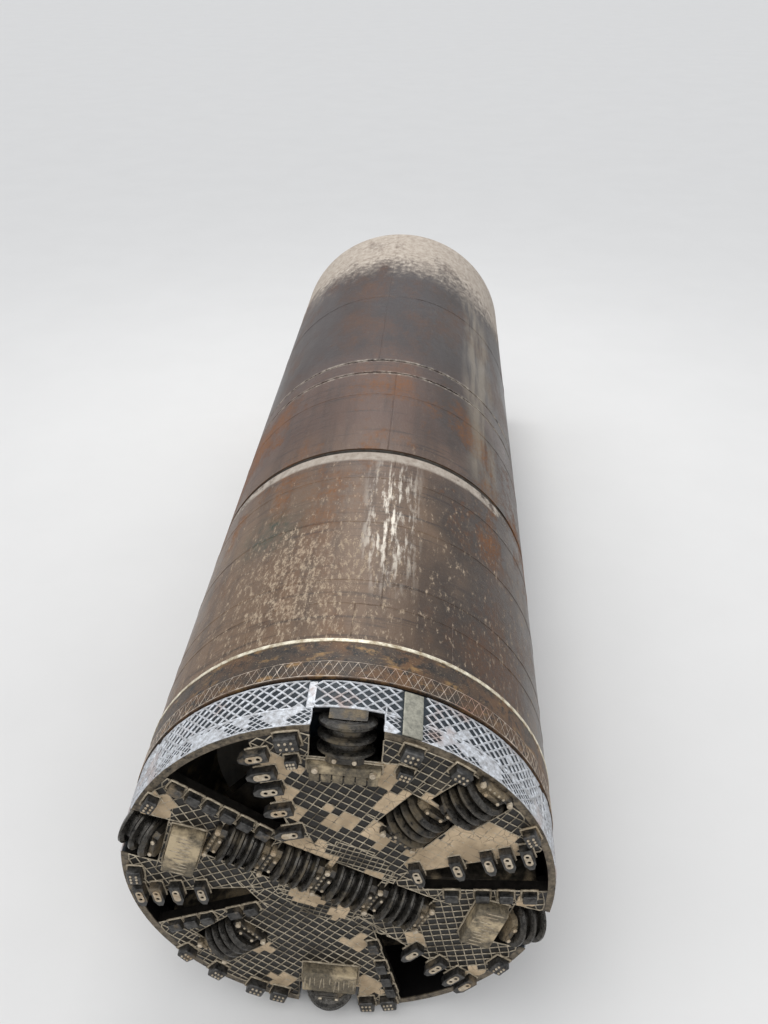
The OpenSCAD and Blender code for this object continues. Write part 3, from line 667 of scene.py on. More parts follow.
def muddy(c):
    """Whether mud has dried on a cell: in the patches, with a ragged edge."""
    ragged = noise.noise(c * 2.3) * 0.5 + noise.noise(c * 11) * 0.5
    return ragged + max(1 - hypot(c.x - x, c.z - AXIS_Z - z) / r for x, z, r in MUD) > 0.12


mud = split_off(muddy, "face_beads")
wobble(0.003, 5)
lay_beads(net, 0.0115)
fit(net, "cutterhead", face_bead, smooth=180)

mud.name = mud.data.name = "face_mud"
edit(mud)
bpy.ops.mesh.remove_doubles(threshold=0.001)
bpy.ops.mesh.subdivide(number_cuts=2)
wobble(0.0055, 9)
use(mud, "SOLIDIFY", thickness=0.010, offset=-0.2)
fit(mud, "cutterhead", dry_mud, smooth=60)

# Cutter saddles: forged blocks that hold the ends of each cutter's shaft. Long clamp bars with a round
# bolt at each end lie beside them, and each shaft's end has a cap with two small bolts.


def worn_finish(name, light, dark, dust, metallic, dust_share):
    """Dark steel with polished places, fine scratches and patches of dried dust."""
    m, t = new_finish(name, metallic)
    patch = speckle(t, 5, 8, shift=4)
    crust = speckle(t, 26, 8, shift=6, rough=0.7)
    fine = speckle(t, 140, 4, shift=8)
    colour = coat(t, above(t, crust, 0.35, 0.68), dark, light)
    dusty = times(t, above(t, patch, dust_share, dust_share + 0.12), above(t, fine, 0.3, 0.55))
    colour = coat(t, dusty, colour, dust)
    roughness = coat(t, dusty, coat(t, crust, 0.22, 0.5), 0.85)
    return close_finish(m, colour, roughness, [(crust, 0.0025), (fine, 0.0006), (dusty, 0.001)])


UP = (0, 0, 1)


def brick(place, centre, size):
    """A block in a place's own directions."""
    clear_hand()
    at = place @ Matrix.Translation(centre)
    bpy.ops.mesh.primitive_cube_add(size=1, location=at.to_translation(), rotation=at.to_euler())
    bpy.context.object.scale = size
    return settle("brick")


def peg(place, centre, radius, length, sides=20, way=(0, 1, 0)):
    """A round bar with its middle at centre, along way in a place's own directions."""
    clear_hand()
    at = place @ Matrix.Translation(centre) @ Vector(way).to_track_quat("Z", "Y").to_matrix().to_4x4()
    bpy.ops.mesh.primitive_cylinder_add(vertices=sides, radius=radius, depth=length,
                                        location=at.to_translation(), rotation=at.to_euler())
    return settle("peg")


def remake(node, name, finish, edge, segments=2):
    """A piece made from a CAD node's mesh, with merged corners and eased edges, in the node's place."""
    ob = bpy.data.objects.new(name, CAD[node].data.copy())
    ob.data.name = name
    ob.data.materials.clear()
    bpy.context.collection.objects.link(ob)
    edit(ob)
    bpy.ops.mesh.remove_doubles(threshold=1e-5)
    bpy.ops.mesh.dissolve_limited(angle_limit=radians(0.5))
    ease(ob, edge, segments)
    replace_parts(fit(ob, "cutterhead", finish), node)


def weld_loops(name, loops, radius, cuts=5):
    """Weld beads round rectangles, given as (place, centre, width along X, width along Z)."""
    parts = []
    for place, centre, wide, high in loops:
        clear_hand()
        at = place @ Matrix.Translation(centre) @ Matrix.Rotation(pi / 2, 4, "X")
        bpy.ops.mesh.primitive_plane_add(size=1, location=at.to_translation(), rotation=at.to_euler())
        bpy.context.object.scale = (wide, high, 1)
        parts.append(settle(name))
    ob = gather(name, parts)
    edit(ob)
    bpy.ops.mesh.delete(type="ONLY_FACE")
    bpy.ops.mesh.select_all(action="SELECT")
    bpy.ops.mesh.subdivide(number_cuts=cuts)
    wobble(0.002, len(loops))
    hold(ob)
    bpy.ops.object.convert(target="CURVE")
    curve = bpy.context.object
    curve.data.bevel_depth = radius
    curve.data.bevel_resolution = 1
    bpy.ops.object.convert(target="MESH")
    fit(bpy.context.object, "cutterhead", weld_pale, smooth=60)


# dark steels and the pale weld and bolts between them
saddle_steel = worn_finish("saddle_steel", "4c463d", "1d1b19", "8c7c63", 0.45, 0.5)
block_steel = worn_finish("block_steel", "5d5b58", "1c1b1a", "8b7b64", 0.7, 0.56)
bolt_pale = worn_finish("bolt_pale", "cdbfa8", "8d7e69", "a58f72", 0.25, 0.5)
weld_pale = bead_finish("weld_pale", "b5a78f", "6e6353", "8c7a60", 0.35, 0.55)
dress(saddle_steel, "face_saddles", "gauge_saddles", "head_ribs", "crusher_ring")

# angle and distance of the clamp bars that lie on the plate
BARS = [(-27, -0.920), (-27, -0.520), (-27, -0.120), (-27, 0.280), (-27, 0.680),
        (221.4, 0.838), (221.4, 1.242), (50.7, 0.663), (44.3, 1.440)]
bars, bolts, studs = [], [], []
for a, r in BARS:
    place = polar(a, r, RIM_Y)
    bars.append(brick(place, (0, -0.022, 0), (0.034, 0.052, 0.292)))
    for z in (-0.124, 0.124):
        bolts.append(peg(place, (0, -0.052, z), 0.019, 0.034))
    for i in range(4):
        studs.append(peg(place, (0, -0.048, (i - 1.5) * 0.042), 0.010, 0.012, 8))
for a, r in FACE_CUTTERS:
    for s in (-1, 1):
        place = polar(a, r + s * 0.1575, RIM_Y - 0.045)
        bars.append(brick(place, (0, -0.008, 0), (0.036, 0.018, 0.150)))
        for z in (-0.055, 0.055):
            bolts.append(peg(place, (0, -0.020, z), 0.012, 0.014, 14))
for a in GAUGE_A:
    place = gauge_place(a)
    bars.append(brick(place, (-0.1375, -0.112, 0), (0.038, 0.016, 0.160)))
    for z in (-0.062, 0.062):
        bolts.append(peg(place, (-0.1375, -0.124, z), 0.015, 0.016))
build("clamp_bars", bars, "cutterhead", saddle_steel, 0.005)
build("clamp_bolts", bolts, "cutterhead", bolt_pale, 0.005, 3)
build("clamp_studs", studs, "cutterhead", weld_pale, 0.003)

# Disc cutters: forged rings on a hub, turned and ground, polished by the rock at their edges, with
# slurry dried between the rings.


def cutter_finish():
    m, t = new_finish("cutter_steel", 0.8)
    patch = speckle(t, 4, 8, shift=4)
    crust = speckle(t, 28, 8, shift=6, rough=0.7)
    fine = speckle(t, 160, 4, shift=8)
    colour = coat(t, above(t, crust, 0.32, 0.7), "181716", "5a5650")
    colour = coat(t, above(t, fine, 0.6, 0.75), colour, "96928b")
    dusty = times(t, above(t, patch, 0.52, 0.66), above(t, crust, 0.35, 0.5))
    colour = coat(t, times(t, dusty, 0.8), colour, "6f634f")
    roughness = coat(t, dusty, coat(t, crust, 0.16, 0.42), 0.75)
    return close_finish(m, colour, roughness, [(crust, 0.002), (fine, 0.0005)])


CUTTERS = [f"cutter_{kind}_{i + 1}" for kind, count in (("centre", 4), ("face", 3), ("gauge", 4))
           for i in range(count)]
dress(cutter_finish(), *CUTTERS)

# Scrapers: cast blocks that point over the muck openings, each with a cream pad of hard facing and
# dried slurry round its two bolt holes, welded to the plate all round.

# opening, edge (0 low, 1 high), distances along that edge: the places of the solids
SCRAPERS = [(0, 0, (0.060, 0.280, 0.480, 0.620, 0.780)), (1, 1, (0.050, 0.330, 0.545, 0.675, 0.810)),
            (2, 0, (0.300, 0.480, 0.620, 0.745)), (3, 1, (0.170, 0.400, 0.580, 0.700))]


def on_edge(opening, edge, t):
    """The place at a distance along an opening's edge: X runs along the edge."""
    x, z, way = OPENINGS[opening][edge]
    way = radians(way)
    return spot(x + t * cos(way), RIM_Y, z + t * sin(way)) @ Matrix.Rotation(-way, 4, "Y")


remake("scrapers", "scraper_castings", block_steel, 0.006)
pads, holes, loops = [], [], []
for opening, edge, along in SCRAPERS:
    for i, t in enumerate(along):
        place = on_edge(opening, edge, t) @ Matrix.Rotation(radians(90 if edge else -90), 4, "Y")
        pad = brick(place, (-0.008, -0.064, 0), (0.112, 0.008, 0.050))
        edit(pad)
        pick(lambda c, way, e: abs(way.y) > 0.9, "EDGE")
        bpy.ops.mesh.bevel(offset=0.0245, segments=7)
        clear_hand()
        pads.append(pad)
        for k, x in enumerate((-0.038, 0.014)):
            if k == 0 or (i + opening) % 3:
                holes.append(peg(place, (x, -0.060, 0), 0.0128, 0.03, 16))
        loops.append((place, (-0.028, -0.003, 0), 0.144, 0.086))
pad_piece, hole_piece = gather("scraper_pads", pads), gather("holes", holes)
use(pad_piece, "BOOLEAN", object=hole_piece, operation="DIFFERENCE", solver="EXACT")
bpy.data.objects.remove(hole_piece)
ease(pad_piece, 0.0025)
fit(pad_piece, "cutterhead", bolt_pale)
weld_loops("scraper_welds", loops, 0.008)

# Lip blocks: hard blocks along the far lip of each opening, worn round, in a thick pale weld.
# opening, edge, distances along it: the places of the solids
BLOCKS = [(0, 1, (0.060, 0.200, 0.330, 0.460, 0.590, 0.720)), (1, 0, (0.190, 0.400, 0.560, 0.720)),
          (2, 1, (0.090, 0.220, 0.440, 0.570, 0.700)), (3, 0, (0.150, 0.400, 0.560, 0.700))]
remake("lip_blocks", "lip_block_castings", block_steel, 0.010, 3)
loops = [(on_edge(opening, edge, t), (0, -0.004, 0.037 if edge else -0.037), 0.112, 0.090)
         for opening, edge, along in BLOCKS for t in along]
weld_loops("lip_welds", loops, 0.009)

# Rim bits: cast blocks round the edge of the face with two rows of hard-metal buttons, in a weld.
# angle, distance from the axis, radial size, size along the rim
RIM_BITS = [(101, 1.395, 0.110, 0.150), (101.5, 1.225, 0.070, 0.080), (69, 1.395, 0.100, 0.130),
            (68, 1.225, 0.070, 0.100), (55, 1.405, 0.090, 0.130), (148, 1.410, 0.080, 0.120),
            (179.5, 1.395, 0.100, 0.120), (217.5, 1.420, 0.100, 0.110), (229.5, 1.415, 0.110, 0.110),
            (243, 1.415, 0.110, 0.130), (250.5, 1.415, 0.110, 0.120), (278, 1.415, 0.110, 0.110),
            (284.8, 1.415, 0.110, 0.110), (325, 1.415, 0.110, 0.120), (25, 1.415, 0.090, 0.110)]
remake("rim_bits", "rim_bit_castings", block_steel, 0.011, 3)
buttons, loops = [], []
for a, r, deep, wide in RIM_BITS:
    place = polar(a, r, RIM_Y)
    for x in (-deep / 5, deep / 5):
        for z in (-wide / 4, 0, wide / 4):
            buttons.append(peg(place, (x, -0.071, z), 0.009, 0.012, 10))
    loops.append((place, (0, -0.004, 0), deep + 0.014, wide + 0.014))
build("rim_bit_buttons", buttons, "cutterhead", bolt_pale, 0.003)
weld_loops("rim_bit_welds", loops, 0.009)

# Wear blocks: thick blocks inside three gauge cutters, built up with rough weld metal, and the clamp
# strip and tiles inside the top one.


def crust_finish():
    m, t = new_finish("wear_crust", 0.15)
    patch = speckle(t, 5, 8, shift=4)
    crust = speckle(t, 34, 9, shift=6, rough=0.75)
    drops = put(t, "TexVoronoi", {"Vector": where(t), "Scale": 60.0}, feature="SMOOTH_F1")
    colour = coat(t, above(t, crust, 0.35, 0.65), "3a342b", "7d715b")
    colour = coat(t, above(t, patch, 0.5, 0.62), colour, "b5a384")
    return close_finish(m, colour, coat(t, crust, 0.45, 0.85), [(crust, 0.006), (drops, -0.004)])


remake("wear_blocks", "wear_block_crust", crust_finish(), 0.007)
tails, bolts, loops = [], [], []
for k, a in enumerate(GAUGE_A[1:]):
    place = polar(a, 1.07, RIM_Y)
    for i in range(11):
        z = (i - 5) * 0.036
        swing, reach = (noise.noise((i * 3.1, k * 5.0, n)) for n in (0, 7.3))
        turned = place @ Matrix.Rotation(swing * 0.16, 4, "Y")
        tails.append(peg(turned, (reach * 0.05, -0.0915, z + swing * 0.014), 0.007 + 0.002 * reach,
                         0.15 + 0.07 * reach, 7, way=(1, 0, 0)))
    loops.append((place, (0, -0.004, 0), 0.236, 0.416))
top = polar(GAUGE_A[0], 1.155, RIM_Y)
for z in (-0.180, 0.180):
    bolts.append(peg(top, (0, -0.060, z), 0.021, 0.03))
loops.append((top, (0, -0.004, 0), 0.084, 0.474))
tail_piece = gather("wear_beads", tails)
use(tail_piece, "SUBSURF", levels=1)
fit(tail_piece, "cutterhead", weld_pale, smooth=180)
build("top_strip_bolts", bolts, "cutterhead", bolt_pale, 0.005, 3)
weld_loops("wear_welds", loops, 0.009, 9)

# Frames, bulkhead and rings inside the cans: flame-cut plate in grey primer, rubbed through at the
# edges and dusty, with hexagon bolts on the jacking ring, the bulkhead's flange and the main drive.


def paint_finish(name, light, dark, chip, dust, chip_share=0.66, rough=0.45):
    """Sprayed paint with chips, faint runs and patches of dust."""
    m, t = new_finish(name, 0.0)
    patch = speckle(t, 2.5, 6, shift=4)
    runs = speckle(t, 14, 6, (1, 1, 0.15), 9)
    crust = speckle(t, 30, 9, shift=6, rough=0.75)
    fine = speckle(t, 220, 3, shift=8)
    colour = coat(t, above(t, runs, 0.35, 0.7), light, dark)
    chips = above(t, crust, chip_share, chip_share + 0.03)
    colour = coat(t, chips, colour, chip)
    dusty = times(t, above(t, patch, 0.4, 0.7), above(t, crust, 0.3, 0.6))
    colour = coat(t, times(t, dusty, 0.7), colour, dust)
    bumps = [(fine, 0.0003), (chips, -0.0006), (patch, 0.002)]
    return close_finish(m, colour, coat(t, most(t, chips, dusty), rough, 0.8), bumps)


frame_primer = paint_finish("frame_primer", "67645e", "524f49", "4a3226", "8d8271", 0.6)
dress(frame_primer, "bulkhead", "front_frame", "middle_frame", "torque_ring", "jacking_ring")
bolt_zinc = worn_finish("bolt_zinc", "8f8c84", "4e4b46", "8b7b64", 0.6, 0.6)

# body, name, record slot, y of the face, circle's radius, count, first angle, bolt's radius
BOLT_CIRCLES = [
    ("rear_shield", "jacking_bolts", "frame_steel", JACKING_Y, 1.3575, 16, 11.25, 0.022),
    ("front_shield", "drive_bolts", "machine_paint", -3.765, 0.690, 24, 7.5, 0.020),
    ("front_shield", "drive_cover_bolts", "machine_paint", DRIVE_BACK_Y, 0.585, 30, 0, 0.014),
]
for body, name, slot, y, r, count, first, size in BOLT_CIRCLES:
    parts = []
    for i in range(count):
        place = polar(first + i * 360 / count, r, y)
        parts.append(peg(place, (0, size * 0.20, 0), size * 1.25, size * 0.40))
        parts.append(peg(place, (0, size * 0.75, 0), size, size * 0.75, 6))
    build(name, parts, body, bolt_zinc, size * 0.08)

# Main drive: a cast gearbox housing in satin blue-grey, with six planetary gearboxes and their
# motors. Each motor has cooling ribs and a terminal box.
machine_paint = paint_finish("machine_paint", "2f4656", "263a48", "6f6a62", "7d7466", 0.64)
dress(machine_paint, "drive_housing", "drive_motors", "power_pack", "oil_tank")
parts = []
for i in range(6):
    place = polar(i * 60 + 30, 0.400, DRIVE_BACK_Y)
    for k in range(9):
        parts.append(peg(place, (0, 0.205 + k * 0.024, 0), 0.103, 0.008, 40))
    parts.append(peg(place, (0, 0.172, 0), 0.138, 0.022, 40))
    parts.append(peg(place, (0, 0.010, 0), 0.144, 0.020, 40))
    parts.append(brick(place, (0, 0.300, 0.118), (0.110, 0.120, 0.060)))
    for s in (-1, 1):
        parts.append(peg(place, (s * 0.026, 0.372, 0.118), 0.016, 0.030, 12))
build("motor_ribs", parts, "front_shield", machine_paint, 0.002)

# Steering cylinders: welded barrels in satin yellow with a bolted gland at the rod's end, oil ports
# and a piston-side weld ring, and hard-chromed rods.


def chrome_finish():
    m, t = new_finish("rod_chrome", 1.0)
    film = speckle(t, 6, 6, (1, 0.2, 1), 2)
    fine = speckle(t, 260, 3, (1, 0.05, 1), 8)
    colour = coat(t, above(t, film, 0.45, 0.7), "c9cbcc", "9d9a93")
    return close_finish(m, colour, coat(t, film, 0.08, 0.25), [(fine, 0.0001)])


dress(chrome_finish(), "rod_top", "rod_left", "rod_bottom", "rod_right")
barrel_paint = paint_finish("barrel_paint", "a97c26", "8f6a22", "4a4038", "8d8271", 0.63, 0.4)
dress(barrel_paint, "steering_barrels")
parts, bolts = [], []
for a in (90, 180, 270, 0):
    place = polar(a, 1.150)
    for y, r, length in ((-1.520, 0.090, 0.030), (-1.480, 0.086, 0.020), (-0.850, 0.086, 0.014)):
        parts.append(peg(place, (0, y, 0), r, length, 48))
    for y in (-1.440, -0.890):
        parts.append(brick(place, (-0.085, y, 0), (0.034, 0.050, 0.050)))
        parts.append(peg(place, (-0.112, y, 0), 0.014, 0.040, 6, way=(1, 0, 0)))
        parts.append(peg(place, (-0.140, y, 0), 0.011, 0.040, 14, way=(1, 0, 0)))
    for k in range(8):
        turn = place @ Matrix.Translation((0, -1.537, 0)) @ Matrix.Rotation(radians(k * 45 + 22.5), 4, "Y")
        bolts.append(peg(turn, (0.068, -0.004, 0), 0.0095, 0.012, 6))
build("barrel_fittings", parts, "rear_shield", barrel_paint, 0.002)
build("barrel_bolts", bolts, "rear_shield", bolt_zinc, 0.001)

# Walkway: steel chequer plate on ribs, its raised pattern worn bright down the middle, with
# screw heads along its edges.


def deck_finish():
    m, t = new_finish("deck_steel", 0.4)
    lozenges = []
    for turn, shift in ((0.785, 0.0), (-0.785, 0.5)):
        flat = put(t, "Mapping", {"Vector": where(t), "Rotation": (0, 0, turn), "Scale": (9, 26, 1),
                                  "Location": (shift, 0, 0)})
        u, v = coord(t, 0, flat), coord(t, 1, flat)
        u, v = (calc(t, "ABSOLUTE", calc(t, "SUBTRACT", calc(t, "FRACT", n), 0.5)) for n in (u, v))
        lozenges.append(above(t, total(t, times(t, u, 0.8), v), 0.22, 0.14))
    raised = most(t, *lozenges)
    patch = speckle(t, 2.5, 8, shift=4)
    crust = speckle(t, 30, 8, shift=6, rough=0.7)
    worn = times(t, raised, above(t, calc(t, "ABSOLUTE", coord(t, 0)), 0.55, 0.25))
    colour = coat(t, above(t, crust, 0.35, 0.65), "3c3935", "54504a")
    colour = coat(t, worn, colour, "a19c92")
    mud = times(t, above(t, patch, 0.46, 0.6), above(t, crust, 0.4, 0.55))
    colour = coat(t, mud, colour, "9b8d78")
    bumps = [(raised, 0.003), (crust, 0.001), (mud, 0.002)]
    return close_finish(m, colour, coat(t, most(t, mud, 0.1), 0.4, 0.85), bumps)


dress(deck_finish(), "walkway")
parts = []
for s in (-1, 1):
    for i in range(25):
        place = spot(s * 1.055, -0.40 + i * 0.203, -0.846)
        parts.append(peg(place, (0, 0, 0), 0.011, 0.008, 12, way=UP))
build("deck_screws", parts, "rear_shield", bolt_zinc, 0.002)


# Power pack and oil tank: folded sheet steel cases. The pack has louvred doors with hinges and
# handles, the tank has a bolted hatch, a filler with its cap and a level glass.


def face_of(x, y, z, turn):
    """The place on a case's side: X runs along it, Z up, and -Y out of it."""
    return spot(x, y, z) @ Matrix.Rotation(radians(turn), 4, "Z")


black_plastic = paint_finish("black_plastic", "232323", "1a1a1a", "3a3a3a", "6f675b", 0.8, 0.5)
panels, blacks, metals = [], [], []
pack, pack_end = face_of(-0.440, 1.955, -0.468, 90), face_of(-0.720, 2.855, -0.468, 180)
# side, place along it and width of each door, louvres
PACK_DOORS = [(pack, -0.595, 0.570, 9), (pack, 0.0, 0.570, 0), (pack, 0.595, 0.570, 9),
              (pack_end, 0.0, 0.480, 7)]
for place, x, wide, louvres in PACK_DOORS:
    panels.append(brick(place, (x, -0.008, 0), (wide, 0.018, 0.680)))
    for k in range(louvres):
        slat = place @ Matrix.Translation((x, -0.022, k * 0.040 - 0.24))
        slat = slat @ Matrix.Rotation(radians(35), 4, "X")
        panels.append(brick(slat, (0, 0, 0), (wide * 0.62, 0.004, 0.030)))
    blacks.append(brick(place, (x + wide / 2 - 0.045, -0.030, 0.10), (0.024, 0.026, 0.120)))
    blacks.append(brick(place, (x + wide / 2 - 0.045, -0.020, 0.04), (0.034, 0.012, 0.034)))
    for z in (-0.2448, 0.2448):
        metals.append(peg(place, (x - wide / 2 + 0.006, -0.020, z), 0.009, 0.070, 12, way=UP))
tank = face_of(-0.440, 0.380, -0.398, 90)
hatch = face_of(-0.720, 0.905, -0.200, 180)
for place, wide, high in ((tank, 0.420, 0.420), (hatch, 0.380, 0.320)):
    panels.append(brick(place, (0, -0.006, 0.05), (wide, 0.014, high)))
    for i in range(5):
        for j in range(5):
            if i in (0, 4) or j in (0, 4):
                bolt = ((i - 2) * wide * 0.225, -0.016, 0.05 + (j - 2) * high * 0.225)
                metals.append(peg(place, bolt, 0.010, 0.010, 6))
blacks.append(brick(tank, (0.400, -0.012, 0.0), (0.050, 0.024, 0.320)))
metals.append(peg(spot(-0.560, 0.720, 0.052), (0, 0, 0.025), 0.055, 0.050, 32, way=UP))
blacks.append(peg(spot(-0.560, 0.720, 0.052), (0, 0, 0.070), 0.062, 0.040, 32, way=UP))
metals.append(peg(spot(-0.850, 0.720, 0.052), (0, 0, 0.090), 0.060, 0.180, 32, way=UP))
build("case_doors", panels, "rear_shield", machine_paint, 0.004)

# Electric cabinet: three light grey sheet doors on the aisle side and a plain cover on the end, with
# swing handles, a row of lamps and a red stop button. Six cable glands stand on its top.
cabinet_paint = paint_finish("cabinet_paint", "a9aba7", "989a95", "5d5a55", "857c6e", 0.72)
dress(cabinet_paint, "electric_cabinet")
lamp_red = paint_finish("lamp_red", "a31f17", "8b1b15", "701713", "7d7466", 0.85, 0.25)
lamp_green = paint_finish("lamp_green", "1f7a35", "1b6a2e", "185c28", "7d7466", 0.85, 0.25)
panels, reds, greens = [], [], []
side = face_of(0.690, 1.055, -0.223, -90)
end = face_of(0.870, 2.255, -0.223, 180)
for place, x, wide in ((side, -0.800, 0.770), (side, 0.0, 0.770), (side, 0.800, 0.770), (end, 0.0, 0.320)):
    panels.append(brick(place, (x, -0.008, 0), (wide, 0.018, 1.200)))
    blacks.append(brick(place, (x + wide / 2 - 0.050, -0.026, 0.0), (0.026, 0.020, 0.150)))
    for z in (-0.46, 0.46):
        metals.append(peg(place, (x - wide / 2 + 0.006, -0.018, z), 0.008, 0.070, 12, way=UP))
for k in range(5):
    (reds if k == 0 else greens).append(peg(side, (-0.12 + k * 0.06, -0.024, 0.42), 0.014, 0.020, 20))
    metals.append(peg(side, (-0.12 + k * 0.06, -0.019, 0.42), 0.018, 0.008, 20))
reds.append(peg(side, (0.30, -0.040, 0.30), 0.028, 0.022, 28))
blacks.append(peg(side, (0.30, -0.026, 0.30), 0.018, 0.030, 20))
for k in range(6):
    blacks.append(peg(spot(0.760 + k * 0.042, 2.150, 0.402), (0, 0, 0.018), 0.017, 0.036, 6, way=UP))
build("cabinet_doors", panels, "rear_shield", cabinet_paint, 0.004)
for name, parts, finish in (("case_handles", blacks, black_plastic), ("case_metal", metals, bolt_zinc),
                            ("cabinet_lamps_red", reds, lamp_red),
                            ("cabinet_lamps_green", greens, lamp_green)):
    build(name, parts, "rear_shield", finish, 0.003)

# Ventilation duct: galvanised strip wound into a pipe with a lock seam, with clamping bands at its
# brackets.


def duct_finish():
    m, t = new_finish("duct_sheet", 0.85)
    cells = put(t, "TexVoronoi", {"Vector": where(t), "Scale": 38.0}, "Color")
    grey = put(t, "RGBToBW", {"Color": cells})
    patch = speckle(t, 4, 8, shift=4)
    colour = coat(t, grey, "8d9194", "b1b5b7")
    colour = coat(t, above(t, patch, 0.5, 0.7), colour, "8a8172")
    return close_finish(m, colour, coat(t, grey, 0.3, 0.5), [(grey, 0.0004), (patch, 0.001)])


duct_sheet = duct_finish()
dress(duct_sheet, "vent_duct")
DUCT_X, DUCT_UP, SEAM_TURNS = -0.640, 0.950, 37
clear_hand()
bpy.ops.mesh.primitive_circle_add(vertices=6, radius=0.0035, location=(0.1505, 0, 0), rotation=LENGTHWISE)
seam = settle("duct_seam")
steps = SEAM_TURNS * 28
use(seam, "SCREW", angle=2 * pi * SEAM_TURNS, screw_offset=4.66, steps=steps, render_steps=steps,
    use_merge_vertices=True)
seam.rotation_euler = (-pi / 2, 0, 0)
seam.location = (DUCT_X, -0.235, AXIS_Z + DUCT_UP)
hold(seam)
bpy.ops.object.transform_apply(location=True, rotation=True)
parts = [seam]
for i in range(4):
    place = spot(DUCT_X, -0.095 + i * (4.369 / 3), DUCT_UP)
    parts.append(peg(place, (0, -0.034, 0), 0.1535, 0.030, 64))
for y in (-0.236, 4.431):
    parts.append(peg(spot(DUCT_X, y, DUCT_UP), (0, 0, 0), 0.1560, 0.020, 64))
for part in parts[1:]:
    edit(part)
    drop(lambda c: hypot(c.x - DUCT_X, c.z - AXIS_Z - DUCT_UP) < 0.1)
    use(part, "SOLIDIFY", thickness=0.003)
fit(gather("duct_bands", parts), "rear_shield", duct_sheet)

# Slurry pipes: steel tube in grey paint with welded flanges, a U-shaped clamp at each rib of the
# walkway and bolts ready in the rear flanges.
pipe_paint = paint_finish("pipe_paint", "4f5558", "41474a", "5a3a28", "978a76", 0.6)
dress(pipe_paint, "feed_pipe", "discharge_pipe")
PIPE_UP = -1.040
clamps, bolts = [], []
for x in (-0.330, 0.330):
    for i in range(1, 6):
        clear_hand()
        bpy.ops.mesh.primitive_torus_add(major_segments=40, minor_segments=8, major_radius=0.117,
                                         minor_radius=0.007, rotation=LENGTHWISE,
                                         location=(x, -0.425 + i * 0.975, AXIS_Z + PIPE_UP))
        clamps.append(settle("clamp"))
    for k in range(8):
        place = spot(x, JACKING_Y, PIPE_UP) @ Matrix.Rotation(radians(k * 45 + 22.5), 4, "Y")
        bolts.append(peg(place, (0.138, 0.008, 0), 0.017, 0.016, 6))
        bolts.append(peg(place, (0.138, 0.020, 0), 0.0095, 0.020, 12))
fit(gather("pipe_clamps", clamps), "rear_shield", bolt_zinc)
build("pipe_bolts", bolts, "rear_shield", bolt_zinc, 0.0015)

# Cable tray and lighting: a perforated tray along the right side of the tail with fixed cables lying
# in it, on brackets welded to the can, and sealed batten lamps under its crown.
TRAY_Y, TRAY_LENGTH, BATTEN_X, BATTEN_UP = 2.05, 4.70, 0.10, 1.330
tray, cables, diffusers, cases = [], [], [], []
for i in range(7):
    tray.append(brick(spot(1.150, -0.20 + i * 0.75, 0.640), (0, 0, 0), (0.300, 0.040, 0.030)))
for s in (-1, 1):
    tray.append(brick(spot(1.120 + s * 0.110, TRAY_Y, 0.682), (0, 0, 0), (0.004, TRAY_LENGTH, 0.055)))
tray.append(brick(spot(1.120, TRAY_Y, 0.657), (0, 0, 0), (0.220, TRAY_LENGTH, 0.004)))
for k in range(6):
    for layer in range(2):
        place = spot(1.040 + k * 0.032 + layer * 0.016, TRAY_Y, 0.675 + layer * 0.026)
        cables.append(peg(place, (0, 0, 0), 0.0135, TRAY_LENGTH - 0.04, 12))
for i in range(3):
    y = 0.30 + i * 1.75
    diffusers.append(peg(spot(BATTEN_X, y, BATTEN_UP), (0, 0, 0), 0.045, 1.16, 28))
    for s in (-1, 1):
        cases.append(peg(spot(BATTEN_X, y + s * 0.60, BATTEN_UP), (0, 0, 0), 0.050, 0.060, 28))
        cases.append(brick(spot(BATTEN_X, y + s * 0.40, BATTEN_UP), (0, 0, 0.082), (0.030, 0.030, 0.100)))
build("cable_tray", tray, "rear_shield", duct_sheet, 0.0015)
piece = gather("cable_bundle", cables)
edit(piece)
cut_along(23)
bm = bmesh.from_edit_mesh(piece.data)
for v in bm.verts:
    v.co.x += noise.noise((v.co.y * 1.6, round(v.co.x * 30), 0)) * 0.006
    v.co.z += noise.noise((v.co.y * 1.3, round(v.co.x * 30), 9)) * 0.003
bmesh.update_edit_mesh(piece.data)
fit(piece, "rear_shield", black_plastic, smooth=60)
build("batten_cases", cases, "rear_shield", black_plastic, 0.003)
m, t = new_finish("batten_diffuser", 0.0)
close_finish(m, coat(t, speckle(t, 3, 6, (1, 0.3, 1)), "e6e4dc", "c9c4b8"),
             coat(t, speckle(t, 20), 0.25, 0.5), [(speckle(t, 120, 3, (1, 0.05, 1)), 0.0003)])
build("batten_diffusers", diffusers, "rear_shield", m, 0.006)

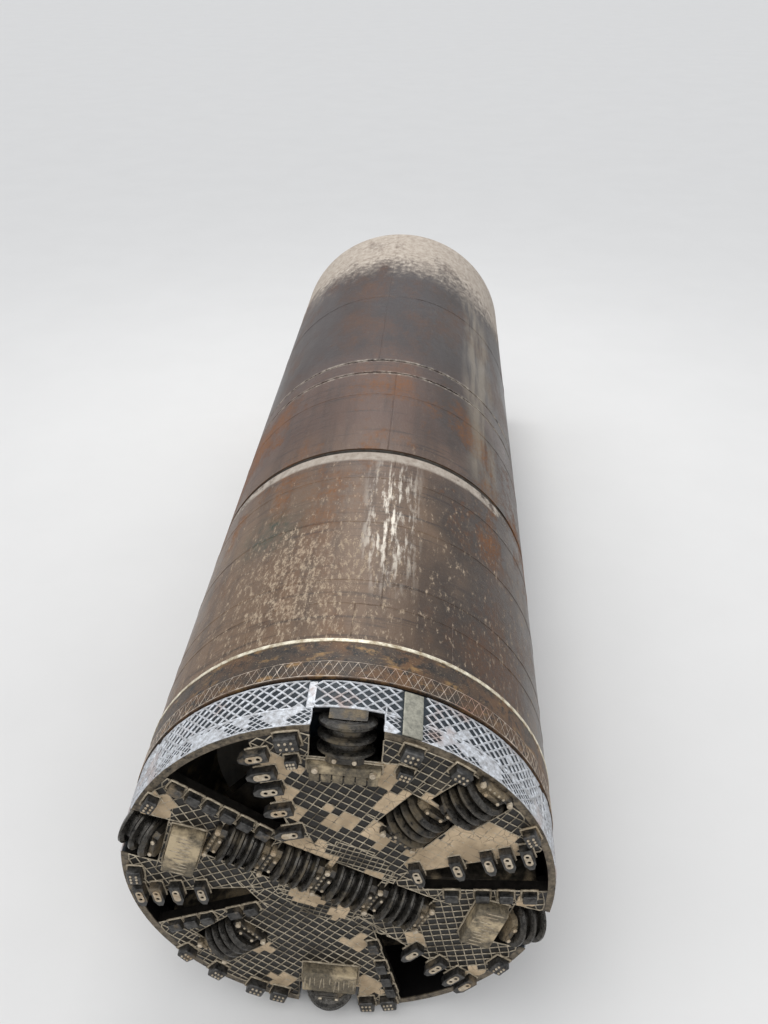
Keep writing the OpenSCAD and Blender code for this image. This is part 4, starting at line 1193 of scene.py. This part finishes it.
# Stage: a pale floor, a pale sky and soft lamps, with the camera where the photograph was taken from.
clear_hand()
bpy.ops.mesh.primitive_grid_add(x_subdivisions=8, y_subdivisions=8, size=400, location=(0, 0, 0))
floor = bpy.context.object
floor.name = "floor"
m, t = new_finish("floor_pale", 0.0, 0.2)
close_finish(m, coat(t, speckle(t, 0.8), "d6d4d1", "dcdad7"),
             coat(t, speckle(t, 3), 0.85, 0.95), [(speckle(t, 30), 0.0005)])
floor.data.materials.append(m)

world = bpy.data.worlds.new("sky")
world.use_nodes = True
bpy.context.scene.world = world
t = world.node_tree
back = t.nodes["Background"]
back.inputs["Color"].default_value = (0.90, 0.94, 1.0, 1)
seen = put(t, "LightPath", {}, "Is Camera Ray")
glossy = put(t, "LightPath", {}, "Is Glossy Ray")
seen = most(t, seen, times(t, glossy, 0.5))
seen = most(t, seen, put(t, "LightPath", {}, "Is Transmission Ray"))
t.links.new(coat(t, seen, 0.75, 1.0), back.inputs["Strength"])

# kind, name, place, size in metres or spread of the sun in radians, watts or the sun's strength
LAMPS = [("SUN", "lamp_sky", (-6, -4, 14), 1.2, 1.1), ("AREA", "lamp_front", (5, -13, 9), 7, 300),
         ("AREA", "lamp_sheen", (-0.5, 5.5, 10.5), 4.5, 420)]
for kind, name, place, size, power in LAMPS:
    clear_hand()
    bpy.ops.object.light_add(type=kind, location=place)
    lamp = bpy.context.object
    lamp.name = name
    lamp.data.energy = power
    if kind == "SUN":
        lamp.data.angle = size
    else:
        lamp.data.size = size
    lamp.rotation_euler = (Vector((0, 0, 1)) - Vector(place)).to_track_quat("-Z", "Y").to_euler()

clear_hand()
bpy.ops.object.camera_add(location=(0.568, -9.1425, 7.172))
camera = bpy.context.object
yaw, pitch = -0.0586, 0.5673
ahead = Vector((sin(yaw) * cos(pitch), cos(yaw) * cos(pitch), -sin(pitch)))
camera.rotation_euler = ahead.to_track_quat("-Z", "Y").to_euler()
camera.data.lens = 33.41
camera.data.sensor_width = 36
camera.data.clip_end = 400
bpy.context.scene.camera = camera
bpy.context.scene.view_settings.view_transform = "Standard"
